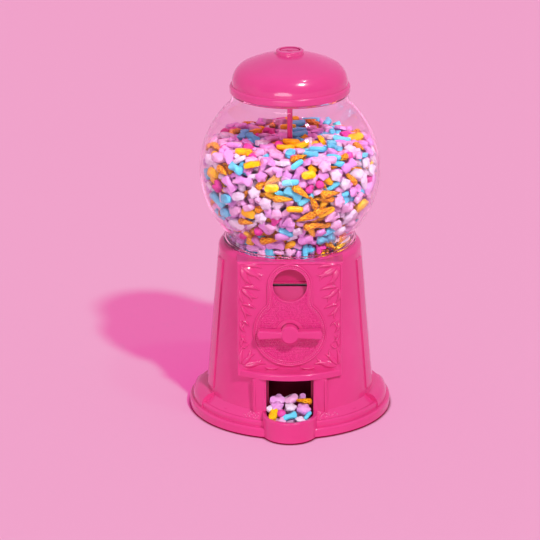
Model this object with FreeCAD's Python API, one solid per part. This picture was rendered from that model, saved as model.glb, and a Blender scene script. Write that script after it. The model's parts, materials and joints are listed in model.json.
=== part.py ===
"""Gumball machine: a cast cabinet on a stepped base, a glass globe held down by a lid and a tie rod,
and a coin-turned drive that carries sweets from the hopper to the tray.

Millimetres. Z is up, the front faces -Y, and the origin lies on the globe's axis, on the surface
that the machine stands on.
"""
import FreeCAD, Part
import math
import os

from FreeCAD import Vector

# Clearances
running_gap = 0.05
fit_gap = 0.3
passing_gap = 0.5

# How far a cutter runs past what it cuts, and how near an edge lies to a stated plane
overcut = 1.0
edge_tolerance = 0.01

# Base and feet
foot_height = 1.0
foot_radius = 6.0
foot_inset = 15.0
foot_count = 4
plinth_height = 6.5
plinth_round = 1.6
band_setback = 3.4
band_height = 4.6
cove_setback = 3.0
cove_height = 4.2
base_spread = 13.2
base_wall = 2.8
side_block_span = 36.0
side_block_lean = 8.0
side_block_setback = 2.6
side_block_rise = 1.6
side_block_round = 8.5
bottom_plate_thickness = 1.6
bottom_plate_recess = 0.6
post_radius = 4.0
post_inset = 12.0

# Cabinet
cabinet_height = 132.0
cabinet_wall = 2.4
cabinet_flare = 9.8
rim_land = 0.9
rim_round = 4.6
seat_depth = 3.5
ledge_thickness = 2.4
ledge_reach = 8.4
pilaster_angle = 71.0
pilaster_span = 11.0
pilaster_rise = 1.0
pilaster_end_gap = 5.0

# Front panel
panel_half_width = 39.4
panel_setback = 1.4
panel_thickness = 3.0
panel_top_drop = 0.6
panel_edge_round = 0.8
panel_land = 11.4
lip_height = 41.0
lip_thickness = 4.8
lip_overhang = 3.0
lip_round = 1.5
housing_depth = 26.0
escutcheon_rise = 0.8
escutcheon_radius = 27.0
lobe_margin = 3.8
collar_width = 2.9
collar_rise = 1.2

# Tray and mouth
mouth_half_width = 17.7
jamb_width = 10.3
jamb_setback = 1.6
tray_wall = 2.9
tray_reach = 10.2
tray_height = 16.0
tray_floor_height = 3.0
tray_floor_thickness = 2.5
tray_rim_round = 1.2

# Globe
globe_radius = 68.0
globe_wall = 1.6
globe_neck_radius = 47.6
globe_neck_height = 9.88
globe_neck_round = 3.0
globe_flange_lip = 0.8
globe_bead_lip = 3.0
globe_bead_height = 3.4
globe_bead_slope = 1.6
globe_collar_radius = 43.9
globe_collar_height = 6.9
globe_collar_round = 8.0
gasket_thickness = 1.2
sweets_height = 26.0
sweets_relief = 3.6
sweets_pitch = 12.6
sweets_lump_radius = 5.0

# Lid, tie rod and their nuts
lid_rim_overhang = 1.2
lid_rim_height = 6.4
lid_rim_step = 1.9
lid_dome_height = 23.4
lid_shoulder_round = 15.0
lid_wall = 1.8
lid_skirt_depth = 1.6
lid_ring_radius = 10.4
lid_ring_height = 2.6
lid_ring_wall = 2.6
rod_radius = 2.0
nut_height = 3.2
lid_nut_height = 1.7
rod_nut_radius = 4.0
rod_end_height = 0.5

# Handle and drive shaft
handle_height = 76.3
hub_radius = 7.0
hub_reach = 9.5
hub_chamfer = 1.2
bar_half_length = 24.5
bar_waist_half = 2.6
bar_end_half = 3.6
bar_depth = 6.8
bar_edge_round = 1.2
shaft_radius = 3.0
bush_wall = 1.6
bush_inner_reach = 1.8

# Coin path
window_radius = 12.65
window_drop = 19.1
slot_drop = 1.1
slot_height = 2.4
coin_gap = 2.6
coin_guide_half_width = 13.6
coin_guide_wall = 1.4
coin_guide_thickness = 2.1
coin_notch_radius = 9.6
carrier_radius = 17.0
carrier_thickness = 2.2

# Ratchet and pawl
ratchet_teeth = 12
ratchet_radius = 13.0
ratchet_tooth_depth = 2.0
ratchet_thickness = 3.0
pawl_arm_length = 14.0
pawl_tip_angle = 62.0
pawl_boss_radius = 3.4
pawl_tip_half = 1.1
pawl_root_share = 0.8
post_pin_radius = 1.8

# Pinion and crown gear
pinion_teeth = 8
crown_pegs = 16
crown_radius = 12.4
peg_radius = 0.9
peg_reach = 1.4
pinion_face = 4.0
pinion_tooth_height = 1.3
pinion_tooth_root_half = 0.9
pinion_tooth_tip_half = 0.4
crown_thickness = 2.6
crown_rim = 2.0

# Hopper and dispensing wheel
hopper_wall = 2.0
hopper_floor = 2.4
hopper_boss_depth = 4.0
chamber_radius = 36.0
wheel_thickness = 8.0
wheel_hub_radius = 7.0
wheel_cap_rise = 5.0
wheel_pockets = 4
pocket_radius = 8.4
pocket_rim = 1.2
shield_thickness = 1.2
shield_span = 64.0

# Yoke under the hopper
yoke_thickness = 2.5
yoke_half_depth = 5.5
yoke_leg_gap = 2.4
yoke_foot_length = 6.5
yoke_tab_half_width = 8.0

# Sweets chute
chute_wall = 1.5
chute_back_rise = 52.0
chute_roof_knee_drop = 14.0
chute_ear = 6.5

# Screws
screw_radius = 1.4
screw_head_radius = 2.4
screw_head_height = 1.2
screw_hold = 1.9
screw_land = 3.6

# Sweets in the tray
sweet_radius = 4.7
sweet_thickness = 5.0
sweet_layers = 4
sweet_rows = 3

# Levels, from the ground up
base_bottom = foot_height
base_top = base_bottom + plinth_height + band_height + cove_height
rim_top = base_bottom + cabinet_height
seat_level = rim_top - seat_depth
ledge_bottom = seat_level - ledge_thickness
globe_bottom = seat_level + gasket_thickness
pinch_level = globe_bottom + globe_neck_height
globe_centre = pinch_level + math.sqrt(globe_radius**2 - globe_neck_radius**2)
shoulder_level = globe_centre + math.sqrt(globe_radius**2 - globe_collar_radius**2)
collar_top = shoulder_level + globe_collar_height
lid_bottom = collar_top + fit_gap
lid_spring_line = lid_bottom + lid_rim_height + lid_rim_step
lid_apex = lid_bottom + lid_rim_height + lid_dome_height
lip_bottom = base_bottom + lip_height
lip_top = lip_bottom + lip_thickness
panel_top = rim_top - panel_top_drop
tray_floor_top = base_bottom + tray_floor_height + tray_floor_thickness
tray_top = base_bottom + tray_height
handle_level = base_bottom + handle_height
window_level = rim_top - window_drop
slot_level = window_level - slot_drop
sweets_level = globe_centre + sweets_height

# Radii and planes that follow from the globe's seat
flange_radius = globe_neck_radius + globe_flange_lip
seat_radius = flange_radius + passing_gap
ledge_radius = seat_radius - ledge_reach
cabinet_top_radius = seat_radius + rim_land + rim_round
cabinet_foot_radius = cabinet_top_radius + cabinet_flare
base_radius = cabinet_foot_radius + base_spread
panel_aperture_half_width = panel_half_width - panel_land
panel_face = -(cabinet_top_radius - panel_setback)
panel_back = panel_face + panel_thickness
housing_wall_back = panel_back + cabinet_wall
tray_radius = mouth_half_width + tray_wall
tray_centre = -(base_radius + tray_reach) + tray_radius
aperture_top = ledge_bottom - passing_gap

# Drive train, worked out from the handle's shaft
crown_pitch = 2 * math.pi * crown_radius / crown_pegs
pinion_radius = crown_pitch * pinion_teeth / (2 * math.pi)
mesh_level = handle_level + pinion_radius
peg_tip_level = mesh_level - peg_reach
crown_bottom = mesh_level + pinion_tooth_height + passing_gap
crown_top = crown_bottom + crown_thickness
hopper_boss_bottom = crown_top + passing_gap
floor_bottom = hopper_boss_bottom + hopper_boss_depth
floor_top = floor_bottom + hopper_floor
wheel_bottom = floor_top + passing_gap
wheel_top = wheel_bottom + wheel_thickness
shield_bottom = wheel_top + passing_gap
shield_top = shield_bottom + shield_thickness
wheel_radius = chamber_radius - passing_gap
pocket_circle = wheel_radius - pocket_rim - pocket_radius
yoke_top = peg_tip_level - passing_gap
yoke_bottom = yoke_top - yoke_thickness
yoke_leg = crown_radius + crown_rim + yoke_leg_gap
bush_radius = shaft_radius + running_gap + bush_wall
yoke_tab_back = -yoke_half_depth
yoke_tab_front = yoke_tab_back - yoke_thickness
carrier_front = panel_back + bush_inner_reach + passing_gap
carrier_back = carrier_front + carrier_thickness
coin_back = panel_back + coin_guide_thickness + coin_gap
coin_wall_back = coin_back + coin_guide_wall
ratchet_front = coin_wall_back + passing_gap
ratchet_back = ratchet_front + ratchet_thickness
collar_radius = hub_radius + passing_gap
hub_front = panel_face - hub_reach
bar_front = hub_front + bar_edge_round / 2
pawl_clear_radius = ratchet_radius + passing_gap

UP = Vector(0, 0, 1)
BACK = Vector(0, 1, 0)
AXIS = Vector(0, 0, 0)


def wall_radius(level):
    """Outer radius of the tapering cabinet wall at a level."""
    share = (level - base_top) / (rim_top - rim_round - base_top)
    return cabinet_foot_radius - cabinet_flare * share


def outline(start, *steps):
    """Closed face in the XZ plane. A step is an end point, or a (through, end) pair for an arc."""
    def place(point):
        return Vector(point[0], 0, point[1])

    edges = []
    here = start
    for step in steps:
        if isinstance(step[0], tuple):
            through, end = step
            edges.append(Part.Arc(place(here), place(through), place(end)).toShape())
        else:
            end = step
            edges.append(Part.LineSegment(place(here), place(end)).toShape())
        here = end
    if here != start:
        edges.append(Part.LineSegment(place(here), place(start)).toShape())
    return Part.Face(Part.Wire(edges))


def turned(face, start_angle=0.0, span=360.0):
    """Solid of revolution about the machine's axis, from a face in the XZ plane."""
    solid = face.revolve(AXIS, UP, span)
    solid.rotate(AXIS, UP, start_angle)
    return solid


def block(x_low, x_high, y_low, y_high, z_low, z_high):
    """Box between two corners."""
    return Part.makeBox(x_high - x_low, y_high - y_low, z_high - z_low, Vector(x_low, y_low, z_low))


def upright(radius, bottom, top, x=0.0, y=0.0):
    """Vertical cylinder between two levels."""
    return Part.makeCylinder(radius, top - bottom, Vector(x, y, bottom), UP)


def along_y(radius, front, back, x=0.0, level=0.0):
    """Cylinder that runs front to back."""
    return Part.makeCylinder(radius, back - front, Vector(x, front, level), BACK)


def shaft_bore(front, back):
    """Cutter for the drive shaft's running hole through a piece between two planes."""
    return along_y(shaft_radius + running_gap, front - overcut, back + overcut, 0, handle_level)


def extruded_x(points, half_width):
    """Prism across the machine from (y, z) points."""
    corners = [Vector(-half_width, y, z) for y, z in points]
    face = Part.Face(Part.makePolygon(corners + corners[:1]))
    return face.extrude(Vector(2 * half_width, 0, 0))


def arc_middle(centre, radius, start_angle, end_angle):
    """Point half way along an arc, angles in radians."""
    middle = (start_angle + end_angle) / 2
    return (centre[0] + radius * math.cos(middle), centre[1] + radius * math.sin(middle))


def edges_where(shape, test):
    """Edges whose centre passes a test."""
    return [edge for edge in shape.Edges if test(edge.CenterOfMass)]


def ring_points(radius, count, first_angle):
    """Points spaced evenly on a circle about the axis."""
    angles = [math.radians(first_angle + 360.0 * index / count) for index in range(count)]
    return [(radius * math.cos(angle), radius * math.sin(angle)) for angle in angles]


def screws(seats, direction, grip):
    """A set of identical pan-head screws that clamp a piece of the given thickness.

    Each head lies behind its seat and its shank goes on in the direction given.
    """
    solids = []
    for seat in seats:
        head = Part.makeCylinder(screw_head_radius, screw_head_height, seat, direction * -1)
        shank = Part.makeCylinder(screw_radius, grip + screw_hold, seat, direction)
        solids.append(head.fuse(shank).removeSplitter())
    return Part.makeCompound(solids)


def screw_holes(seats, direction, grip):
    """Holes for a set of screws, through the clamped piece and into what holds them."""
    radius = screw_radius + running_gap
    depth = grip + screw_hold + running_gap
    return [Part.makeCylinder(radius, depth, seat, direction) for seat in seats]


# Where the screws seat, shared by the screws and their holes
panel_screw_offset = (panel_aperture_half_width + panel_half_width - cabinet_wall) / 2
panel_screw_seats = [
    Vector(side * panel_screw_offset, housing_wall_back, level)
    for side in (-1, 1)
    for level in (lip_top + screw_head_radius, aperture_top - screw_head_radius)
]
flange_screw_circle = seat_radius - screw_land
hopper_flange_radius = flange_screw_circle + screw_head_radius
hopper_screw_seats = [
    Vector(x, y, ledge_bottom - hopper_wall) for x, y in ring_points(flange_screw_circle, 4, 45.0)
]
yoke_foot_screw = yoke_leg + yoke_thickness + yoke_foot_length / 2
yoke_screw_seats = [Vector(side * yoke_foot_screw, 0, floor_bottom - yoke_thickness) for side in (-1, 1)]
chute_outer_half = mouth_half_width - fit_gap
chute_screw_seats = [
    Vector(side * (chute_outer_half + chute_ear / 2), pocket_circle, floor_bottom - chute_wall)
    for side in (-1, 1)
]
base_screw_seats = [
    Vector(x, y, base_bottom + bottom_plate_recess)
    for x, y in ring_points(base_radius - post_inset, 4, 45.0)
]
coin_tab_half = coin_guide_half_width + coin_guide_wall + screw_head_radius
coin_screw_seats = [
    Vector(side * coin_tab_half, panel_back + coin_guide_wall, slot_level) for side in (-1, 1)
]


def base_profile():
    """Stepped base and tapering cabinet, closed along the axis."""
    band_radius = base_radius - band_setback
    cove_radius = band_radius - cove_setback
    plinth_top = base_bottom + plinth_height
    band_top = plinth_top + band_height
    edge = math.sqrt(0.5)
    round_centre = (cabinet_top_radius - rim_round, rim_top - rim_round)
    return outline(
        (0, base_bottom),
        (base_radius, base_bottom),
        (base_radius, plinth_top - plinth_round),
        ((base_radius - plinth_round * (1 - edge), plinth_top - plinth_round * (1 - edge)),
         (base_radius - plinth_round, plinth_top)),
        (band_radius, plinth_top),
        (band_radius, band_top - plinth_round),
        ((band_radius - plinth_round * (1 - edge), band_top - plinth_round * (1 - edge)),
         (band_radius - plinth_round, band_top)),
        (cove_radius, band_top),
        (cabinet_foot_radius, base_top),
        (cabinet_top_radius, rim_top - rim_round),
        ((round_centre[0] + rim_round * edge, round_centre[1] + rim_round * edge),
         (cabinet_top_radius - rim_round, rim_top)),
        (0, rim_top),
    )


def cabinet_cavity():
    """Space inside the base and the cabinet wall, up to the ledge under the globe."""
    base_inner = base_radius - base_wall
    foot_inner = cabinet_foot_radius - cabinet_wall
    top_inner = wall_radius(ledge_bottom) - cabinet_wall
    return turned(outline(
        (0, base_bottom),
        (base_inner, base_bottom),
        (base_inner, base_bottom + plinth_height - base_wall),
        (foot_inner, base_top - base_wall / 2),
        (top_inner, ledge_bottom),
        (0, ledge_bottom),
    ))


def globe_seat():
    """Bore in the rim that the globe's flange drops into, and the hole through the ledge."""
    flange_bore = upright(seat_radius, seat_level, rim_top + overcut)
    ledge_hole = upright(ledge_radius, ledge_bottom - overcut, rim_top)
    return flange_bore.fuse(ledge_hole)


def pilasters():
    """Four raised ribs that run up the cabinet wall."""
    low = base_top + pilaster_end_gap
    high = rim_top - rim_round - pilaster_end_gap
    face = outline(
        (wall_radius(low) - cabinet_wall / 2, low - pilaster_rise),
        (wall_radius(low) + pilaster_rise, low),
        (wall_radius(high) + pilaster_rise, high),
        (wall_radius(high) - cabinet_wall / 2, high + pilaster_rise),
    )
    centres = [-90 + pilaster_angle, 90 - pilaster_angle, 90 + pilaster_angle, 270 - pilaster_angle]
    return [turned(face, centre - pilaster_span / 2, pilaster_span) for centre in centres]


def side_blocks():
    """Raised blocks with rounded tops on the base, one on each side, set a little forward."""
    outer = base_radius - side_block_setback
    top = base_top + side_block_rise
    inner = cabinet_foot_radius - cabinet_wall / 2
    inset = side_block_round * (1 - math.sqrt(0.5))
    face = outline(
        (inner, base_bottom + plinth_height - plinth_round),
        (outer, base_bottom + plinth_height - plinth_round),
        (outer, top - side_block_round),
        ((outer - inset, top - inset), (outer - side_block_round, top)),
        (inner, top),
    )
    centres = [-side_block_lean, 180 + side_block_lean]
    return [turned(face, centre - side_block_span / 2, side_block_span) for centre in centres]


def stadium(half_width, bottom, top, back):
    """Half-round ended slab of the tray's plan, running back from the tray's front."""
    straight = block(-half_width, half_width, tray_centre, back, bottom, top)
    nose = Part.makeCylinder(half_width, top - bottom, Vector(0, tray_centre, bottom), UP, 180)
    nose.rotate(Vector(0, tray_centre, 0), UP, 180)
    return straight.fuse(nose).removeSplitter()


def body_shell():
    """Cabinet, base and tray in one casting."""
    wall_back = -(wall_radius(lip_bottom) - cabinet_wall)
    jamb_face = -(wall_radius(lip_bottom) - jamb_setback)
    jamb_edge = mouth_half_width + jamb_width
    tray_back = wall_back + cabinet_wall
    housing = block(-panel_half_width, panel_half_width, panel_back, panel_back + housing_depth,
                    lip_bottom, panel_top)
    jambs = block(-jamb_edge, jamb_edge, jamb_face, wall_back, base_top - cove_height, lip_bottom)
    tray_outer = stadium(tray_radius, base_bottom, tray_top, tray_back)
    rim_edges = edges_where(
        tray_outer, lambda c: c.z > tray_top - edge_tolerance and c.y < tray_back - edge_tolerance)
    tray_outer = tray_outer.makeFillet(tray_rim_round, rim_edges)
    outer = turned(base_profile()).fuse([housing, jambs, tray_outer] + pilasters() + side_blocks())

    housing_inner = panel_half_width - cabinet_wall
    housing_cavity = block(-housing_inner, housing_inner, housing_wall_back, panel_back + housing_depth,
                           lip_bottom + cabinet_wall, aperture_top)
    aperture = block(-panel_aperture_half_width, panel_aperture_half_width,
                     panel_back - overcut, housing_wall_back + overcut, lip_top, aperture_top)
    panel_recess = block(-panel_half_width, panel_half_width, -base_radius, panel_back,
                         lip_bottom, rim_top + overcut)
    cut_outer = outer.cut([cabinet_cavity(), globe_seat(), housing_cavity, aperture, panel_recess])

    tray_bottom = base_bottom + tray_floor_height
    tray_well = stadium(tray_radius, tray_bottom, tray_top - tray_rim_round, tray_back)
    post_bottom = base_bottom + bottom_plate_recess + bottom_plate_thickness
    posts = [upright(post_radius, post_bottom, base_top - base_wall, seat.x, seat.y)
             for seat in base_screw_seats]
    shell = cut_outer.fuse([tray_well] + posts)
    mouth = stadium(mouth_half_width, tray_floor_top, lip_bottom, wall_back + 2 * cabinet_wall)
    holes = screw_holes(panel_screw_seats, BACK * -1, cabinet_wall)
    holes += screw_holes(hopper_screw_seats, UP, hopper_wall)
    holes += screw_holes(base_screw_seats, UP, bottom_plate_thickness)
    tray_underside = stadium(mouth_half_width, base_bottom - overcut, tray_bottom, tray_back)
    return shell.cut([mouth, tray_underside] + holes).removeSplitter()


def bottom_plate():
    """Round plate that closes the coin space in the base."""
    low = base_bottom + bottom_plate_recess
    plate = upright(base_radius - base_wall - passing_gap, low, low + bottom_plate_thickness)
    return plate.cut(screw_holes(base_screw_seats, UP, bottom_plate_thickness))


def rubber_feet():
    """Round pads stuck under the bottom plate."""
    places = ring_points(base_radius - foot_inset, foot_count, 0.0)
    top = base_bottom + bottom_plate_recess
    return Part.makeCompound([upright(foot_radius, 0, top, x, y) for x, y in places])


def escutcheon():
    """Raised keyhole-shaped field round the window and the handle."""
    lobe_half = window_radius + lobe_margin
    front = panel_face - escutcheon_rise
    lobe = along_y(lobe_half, front, panel_face, 0, window_level)
    waist = block(-lobe_half, lobe_half, front, panel_face, handle_level, window_level)
    disc = along_y(escutcheon_radius, front, panel_face, 0, handle_level)
    return lobe.fuse([waist, disc])


def front_plate():
    """Cast panel with the keyhole field, coin window, shaft collar and awning lip."""
    sheet = block(-panel_half_width, panel_half_width, panel_face, panel_back, lip_bottom, panel_top)
    front_edges = edges_where(
        sheet, lambda c: c.y < panel_face + edge_tolerance and c.z > lip_bottom + edge_tolerance)
    sheet = sheet.makeFillet(panel_edge_round, front_edges)
    lip_radius = wall_radius(lip_bottom) + lip_overhang
    lip = upright(lip_radius, lip_bottom, lip_top)
    lip = lip.makeFillet(lip_round, edges_where(lip, lambda c: c.z > lip_top - edge_tolerance))
    lip_strip = block(-panel_half_width, panel_half_width, -base_radius, panel_back, lip_bottom, lip_top)
    lip = lip.common(lip_strip)
    ring_front = panel_face - collar_rise - escutcheon_rise
    collar = along_y(collar_radius + collar_width, ring_front, panel_face, 0, handle_level)
    plate = sheet.fuse([lip, escutcheon(), collar])
    sink = along_y(collar_radius, ring_front - overcut, panel_face - escutcheon_rise, 0, handle_level)
    through = panel_back + overcut
    window = along_y(window_radius, panel_face - lip_radius, through, 0, window_level)
    bore = along_y(bush_radius + running_gap, ring_front - overcut, through, 0, handle_level)
    post_hole = along_y(post_pin_radius + running_gap, panel_back - screw_hold, through, *pawl_pivot())
    holes = screw_holes(panel_screw_seats, BACK * -1, cabinet_wall)
    holes += screw_holes(coin_screw_seats, BACK * -1, coin_guide_wall)
    return plate.cut([sink, window, bore, post_hole] + holes).removeSplitter()


def bush(front, back, flange_at_back):
    """Plain bearing bush for the drive shaft, with a flange at one end."""
    flange = bush_wall / 2
    body = along_y(bush_radius, front, back, 0, handle_level)
    if flange_at_back:
        rim = along_y(bush_radius + bush_wall, back - flange, back, 0, handle_level)
    else:
        rim = along_y(bush_radius + bush_wall, front, front + flange, 0, handle_level)
    return body.fuse(rim).cut(shaft_bore(front, back)).removeSplitter()


def shaft_bush():
    """Bush in the front panel, flanged behind it."""
    return bush(panel_face, panel_back + bush_inner_reach, True)


def yoke_bush():
    """Bush in the yoke's tab, flanged in front of it."""
    return bush(yoke_tab_front - bush_wall / 2, yoke_tab_back, False)


def coin_slot_upper():
    """Plate behind the window's upper half, with a lower lip that rolls forward."""
    low = slot_level + slot_height / 2
    high = aperture_top - fit_gap
    back = panel_back + coin_guide_thickness
    lean = coin_guide_thickness / 2
    points = [(panel_back, low), (back, low), (back, high), (panel_back + lean, high),
              (panel_back + lean, low + 2 * lean), (panel_back, low + lean)]
    plate = extruded_x(points, coin_guide_half_width - fit_gap)
    lip_edges = edges_where(
        plate, lambda c: c.y < panel_back + edge_tolerance and abs(c.x) < edge_tolerance)
    return plate.makeFillet(lean / 3, lip_edges)


def coin_slot_lower():
    """Ramp behind the window's lower half, leaning back towards the slot."""
    high = slot_level - slot_height / 2
    low = window_level - window_radius - coin_guide_wall
    back = panel_back + coin_guide_thickness
    points = [(panel_back, low), (back, low), (back, high), (back - coin_guide_thickness / 3, high),
              (panel_back, low + coin_guide_wall)]
    return extruded_x(points, coin_guide_half_width - fit_gap)


def coin_chute():
    """Channel that leads a coin down from the slot to the carrier."""
    half = coin_guide_half_width
    outer = half + coin_guide_wall
    low = handle_level + carrier_radius + passing_gap
    high = ledge_bottom - hopper_wall - passing_gap
    channel = block(-outer, outer, panel_back, coin_wall_back, low, high)
    hollow = block(-half, half, panel_back - overcut, coin_back, low - overcut, high + overcut)
    tab_edge = coin_tab_half + screw_head_radius
    tabs = block(-tab_edge, tab_edge, panel_back, panel_back + coin_guide_wall,
                 slot_level - screw_land, slot_level + screw_land)
    holes = screw_holes(coin_screw_seats, BACK * -1, coin_guide_wall)
    return channel.fuse(tabs).cut([hollow] + holes).removeSplitter()


def pawl_pivot():
    """Centre of the pawl's pin in the XZ plane, level with the pawl's tip."""
    angle = math.radians(pawl_tip_angle)
    tip_x = pawl_clear_radius * math.cos(angle)
    tip_z = handle_level + pawl_clear_radius * math.sin(angle)
    return (tip_x + pawl_arm_length, tip_z + pawl_tip_half)


def pawl_post():
    """Pin that stands out behind the front panel and carries the pawl."""
    x, level = pawl_pivot()
    pin_front = panel_back - screw_hold + running_gap
    pin = along_y(post_pin_radius, pin_front, ratchet_back + passing_gap, x, level)
    shoulder = along_y(pawl_boss_radius - fit_gap, panel_back, ratchet_front - passing_gap / 2, x, level)
    return pin.fuse(shoulder).removeSplitter()


def pawl():
    """Weighted arm whose tip rides on the ratchet wheel and stops it turning back."""
    x, level = pawl_pivot()
    boss = along_y(pawl_boss_radius, ratchet_front, ratchet_back, x, level)
    tip_x = x - pawl_arm_length
    root_half = pawl_boss_radius * pawl_root_share
    arm = Part.Face(Part.makePolygon([
        Vector(x, ratchet_front, level - root_half),
        Vector(x, ratchet_front, level + root_half),
        Vector(tip_x, ratchet_front, level + pawl_tip_half),
        Vector(tip_x, ratchet_front, level),
        Vector(tip_x + pawl_tip_half, ratchet_front, level - pawl_tip_half / 2),
        Vector(x, ratchet_front, level - root_half),
    ])).extrude(Vector(0, ratchet_thickness, 0))
    swept = along_y(pawl_clear_radius, ratchet_front - overcut, ratchet_back + overcut, 0, handle_level)
    bore = along_y(post_pin_radius + running_gap, ratchet_front - overcut, ratchet_back + overcut, x, level)
    return boss.fuse(arm).cut([swept, bore]).removeSplitter()


def hopper():
    """Funnel under the globe, with the wheel's chamber, floor and bearing boss."""
    chamber_outer = chamber_radius + hopper_wall
    cone_foot = shield_top + fit_gap
    flange_bottom = ledge_bottom - hopper_wall
    boss_outer = wheel_hub_radius + 2 * hopper_wall
    hub_bore = wheel_hub_radius + running_gap
    solid = turned(outline(
        (hub_bore, hopper_boss_bottom),
        (boss_outer, hopper_boss_bottom),
        (boss_outer, floor_bottom),
        (chamber_outer, floor_bottom),
        (chamber_outer, cone_foot),
        (ledge_radius + hopper_wall, flange_bottom),
        (hopper_flange_radius, flange_bottom),
        (hopper_flange_radius, ledge_bottom),
        (ledge_radius, ledge_bottom),
        (chamber_radius, cone_foot),
        (chamber_radius, floor_top),
        (hub_bore, floor_top),
    ))
    drop = upright(pocket_radius, floor_bottom - overcut, floor_top + overcut, 0, pocket_circle)
    holes = screw_holes(hopper_screw_seats, UP, hopper_wall)
    holes += screw_holes(yoke_screw_seats, UP, yoke_thickness)
    holes += screw_holes(chute_screw_seats, UP, chute_wall)
    return solid.cut([drop] + holes)


def drop_shield():
    """Cover over the drop hole, so that only the pocket under it empties."""
    outer = chamber_radius - running_gap
    inner = wheel_hub_radius + wheel_cap_rise / 2 + passing_gap
    face = outline(
        (inner, shield_bottom), (outer, shield_bottom), (outer, shield_top), (inner, shield_top))
    return turned(face, 90 - shield_span / 2, shield_span)


def dispensing_wheel():
    """Disc with a ring of pockets, a hub through the hopper's floor and a cone that parts the sweets."""
    disc = upright(wheel_radius, wheel_bottom, wheel_top)
    hub = upright(wheel_hub_radius, crown_top, wheel_bottom)
    cap_foot = Vector(0, 0, wheel_top)
    cap = Part.makeCone(wheel_hub_radius, wheel_hub_radius / 2, wheel_cap_rise, cap_foot, UP)
    bore = upright(rod_radius + fit_gap, crown_top - overcut, wheel_top + wheel_cap_rise + overcut)
    pockets = [upright(pocket_radius, wheel_bottom - overcut, wheel_top + overcut, x, y)
               for x, y in ring_points(pocket_circle, wheel_pockets, 45.0)]
    return disc.fuse([hub, cap]).cut([bore] + pockets).removeSplitter()


def crown_gear():
    """Disc of downward pegs fixed under the wheel's hub."""
    disc = upright(crown_radius + crown_rim, crown_bottom, crown_top)
    pegs = [upright(peg_radius, peg_tip_level, crown_bottom + crown_thickness / 2, x, y)
            for x, y in ring_points(crown_radius, crown_pegs, -90.0)]
    bore = upright(rod_radius + fit_gap, crown_bottom - overcut, crown_top + overcut)
    return disc.fuse(pegs).cut(bore).removeSplitter()


def drive_pinion():
    """Small toothed wheel on the shaft that moves the crown gear's pegs."""
    front = -crown_radius - pinion_face / 2
    root = pinion_radius - peg_reach - passing_gap
    tip = pinion_radius + pinion_tooth_height
    gear = along_y(root, front, front + pinion_face, 0, handle_level)
    tooth = Part.Face(Part.makePolygon([
        Vector(-pinion_tooth_root_half, front, handle_level),
        Vector(pinion_tooth_root_half, front, handle_level),
        Vector(pinion_tooth_root_half, front, handle_level + root),
        Vector(pinion_tooth_tip_half, front, handle_level + tip),
        Vector(-pinion_tooth_tip_half, front, handle_level + tip),
        Vector(-pinion_tooth_root_half, front, handle_level + root),
        Vector(-pinion_tooth_root_half, front, handle_level),
    ])).extrude(Vector(0, pinion_face, 0))
    centre = Vector(0, 0, handle_level)
    teeth = []
    for index in range(pinion_teeth):
        turned_tooth = tooth.copy()
        turned_tooth.rotate(centre, BACK, 360.0 * (index + 0.5) / pinion_teeth)
        teeth.append(turned_tooth)
    return gear.fuse(teeth).cut(shaft_bore(front, front + pinion_face)).removeSplitter()


def ratchet_wheel():
    """Saw-toothed wheel on the shaft."""
    root = ratchet_radius - ratchet_tooth_depth
    corners = []
    for index in range(ratchet_teeth):
        angle = 2 * math.pi * index / ratchet_teeth
        for radius in (root, ratchet_radius):
            rise = radius * math.sin(angle)
            corners.append(Vector(radius * math.cos(angle), ratchet_front, handle_level + rise))
    disc = Part.Face(Part.makePolygon(corners + corners[:1])).extrude(Vector(0, ratchet_thickness, 0))
    return disc.cut(shaft_bore(ratchet_front, ratchet_back))


def coin_carrier():
    """Disc with a notch that takes the coin round with the handle."""
    disc = along_y(carrier_radius, carrier_front, carrier_back, 0, handle_level)
    notch_level = handle_level + carrier_radius
    notch = along_y(coin_notch_radius, carrier_front - overcut, carrier_back + overcut, 0, notch_level)
    hub = along_y(shaft_radius + bush_wall, carrier_back, ratchet_front, 0, handle_level)
    bore = shaft_bore(carrier_front, ratchet_front)
    return disc.cut(notch).fuse(hub).cut(bore).removeSplitter()


def drive_shaft():
    """Shaft from the handle's hub back to the yoke."""
    front = hub_front + bush_wall
    return along_y(shaft_radius, front, yoke_tab_back - fit_gap, 0, handle_level)


def shaft_collar():
    """Collar on the shaft behind the ratchet wheel, holding it against the coin carrier."""
    back = ratchet_back + ratchet_thickness
    ring = along_y(shaft_radius + bush_wall, ratchet_back, back, 0, handle_level)
    return ring.cut(shaft_bore(ratchet_back, back))


def turn_handle():
    """Hub and waisted bar that a hand turns."""
    hub = along_y(hub_radius, hub_front, panel_face - escutcheon_rise - fit_gap, 0, handle_level)
    hub = hub.makeChamfer(hub_chamfer, edges_where(hub, lambda c: c.y < hub_front + edge_tolerance))

    def corner(x, rise):
        return Vector(x, bar_front, handle_level + rise)

    waist = hub_radius / 2
    reach = bar_half_length - bar_end_half / 2
    edges = []
    for side in (-1, 1):
        end_low = corner(side * reach, -side * bar_end_half)
        end_high = corner(side * reach, side * bar_end_half)
        waist_low = corner(side * waist, -side * bar_waist_half)
        next_waist = corner(-side * waist, -side * bar_waist_half)
        next_end = corner(-side * reach, -side * bar_end_half)
        edges.append(Part.Arc(end_high, corner(side * bar_half_length, 0), end_low).toShape())
        edges.append(Part.LineSegment(end_low, waist_low).toShape())
        edges.append(Part.LineSegment(waist_low, next_waist).toShape())
        edges.append(Part.LineSegment(next_waist, next_end).toShape())
    bar = Part.Face(Part.Wire(edges)).extrude(Vector(0, bar_depth, 0))
    bar = bar.makeFillet(bar_edge_round, edges_where(bar, lambda c: c.y < bar_front + edge_tolerance))
    bore_end = hub_front + bush_wall - running_gap
    bore = along_y(shaft_radius + running_gap, bore_end, panel_face, 0, handle_level)
    return hub.fuse(bar).cut(bore).removeSplitter()


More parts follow.
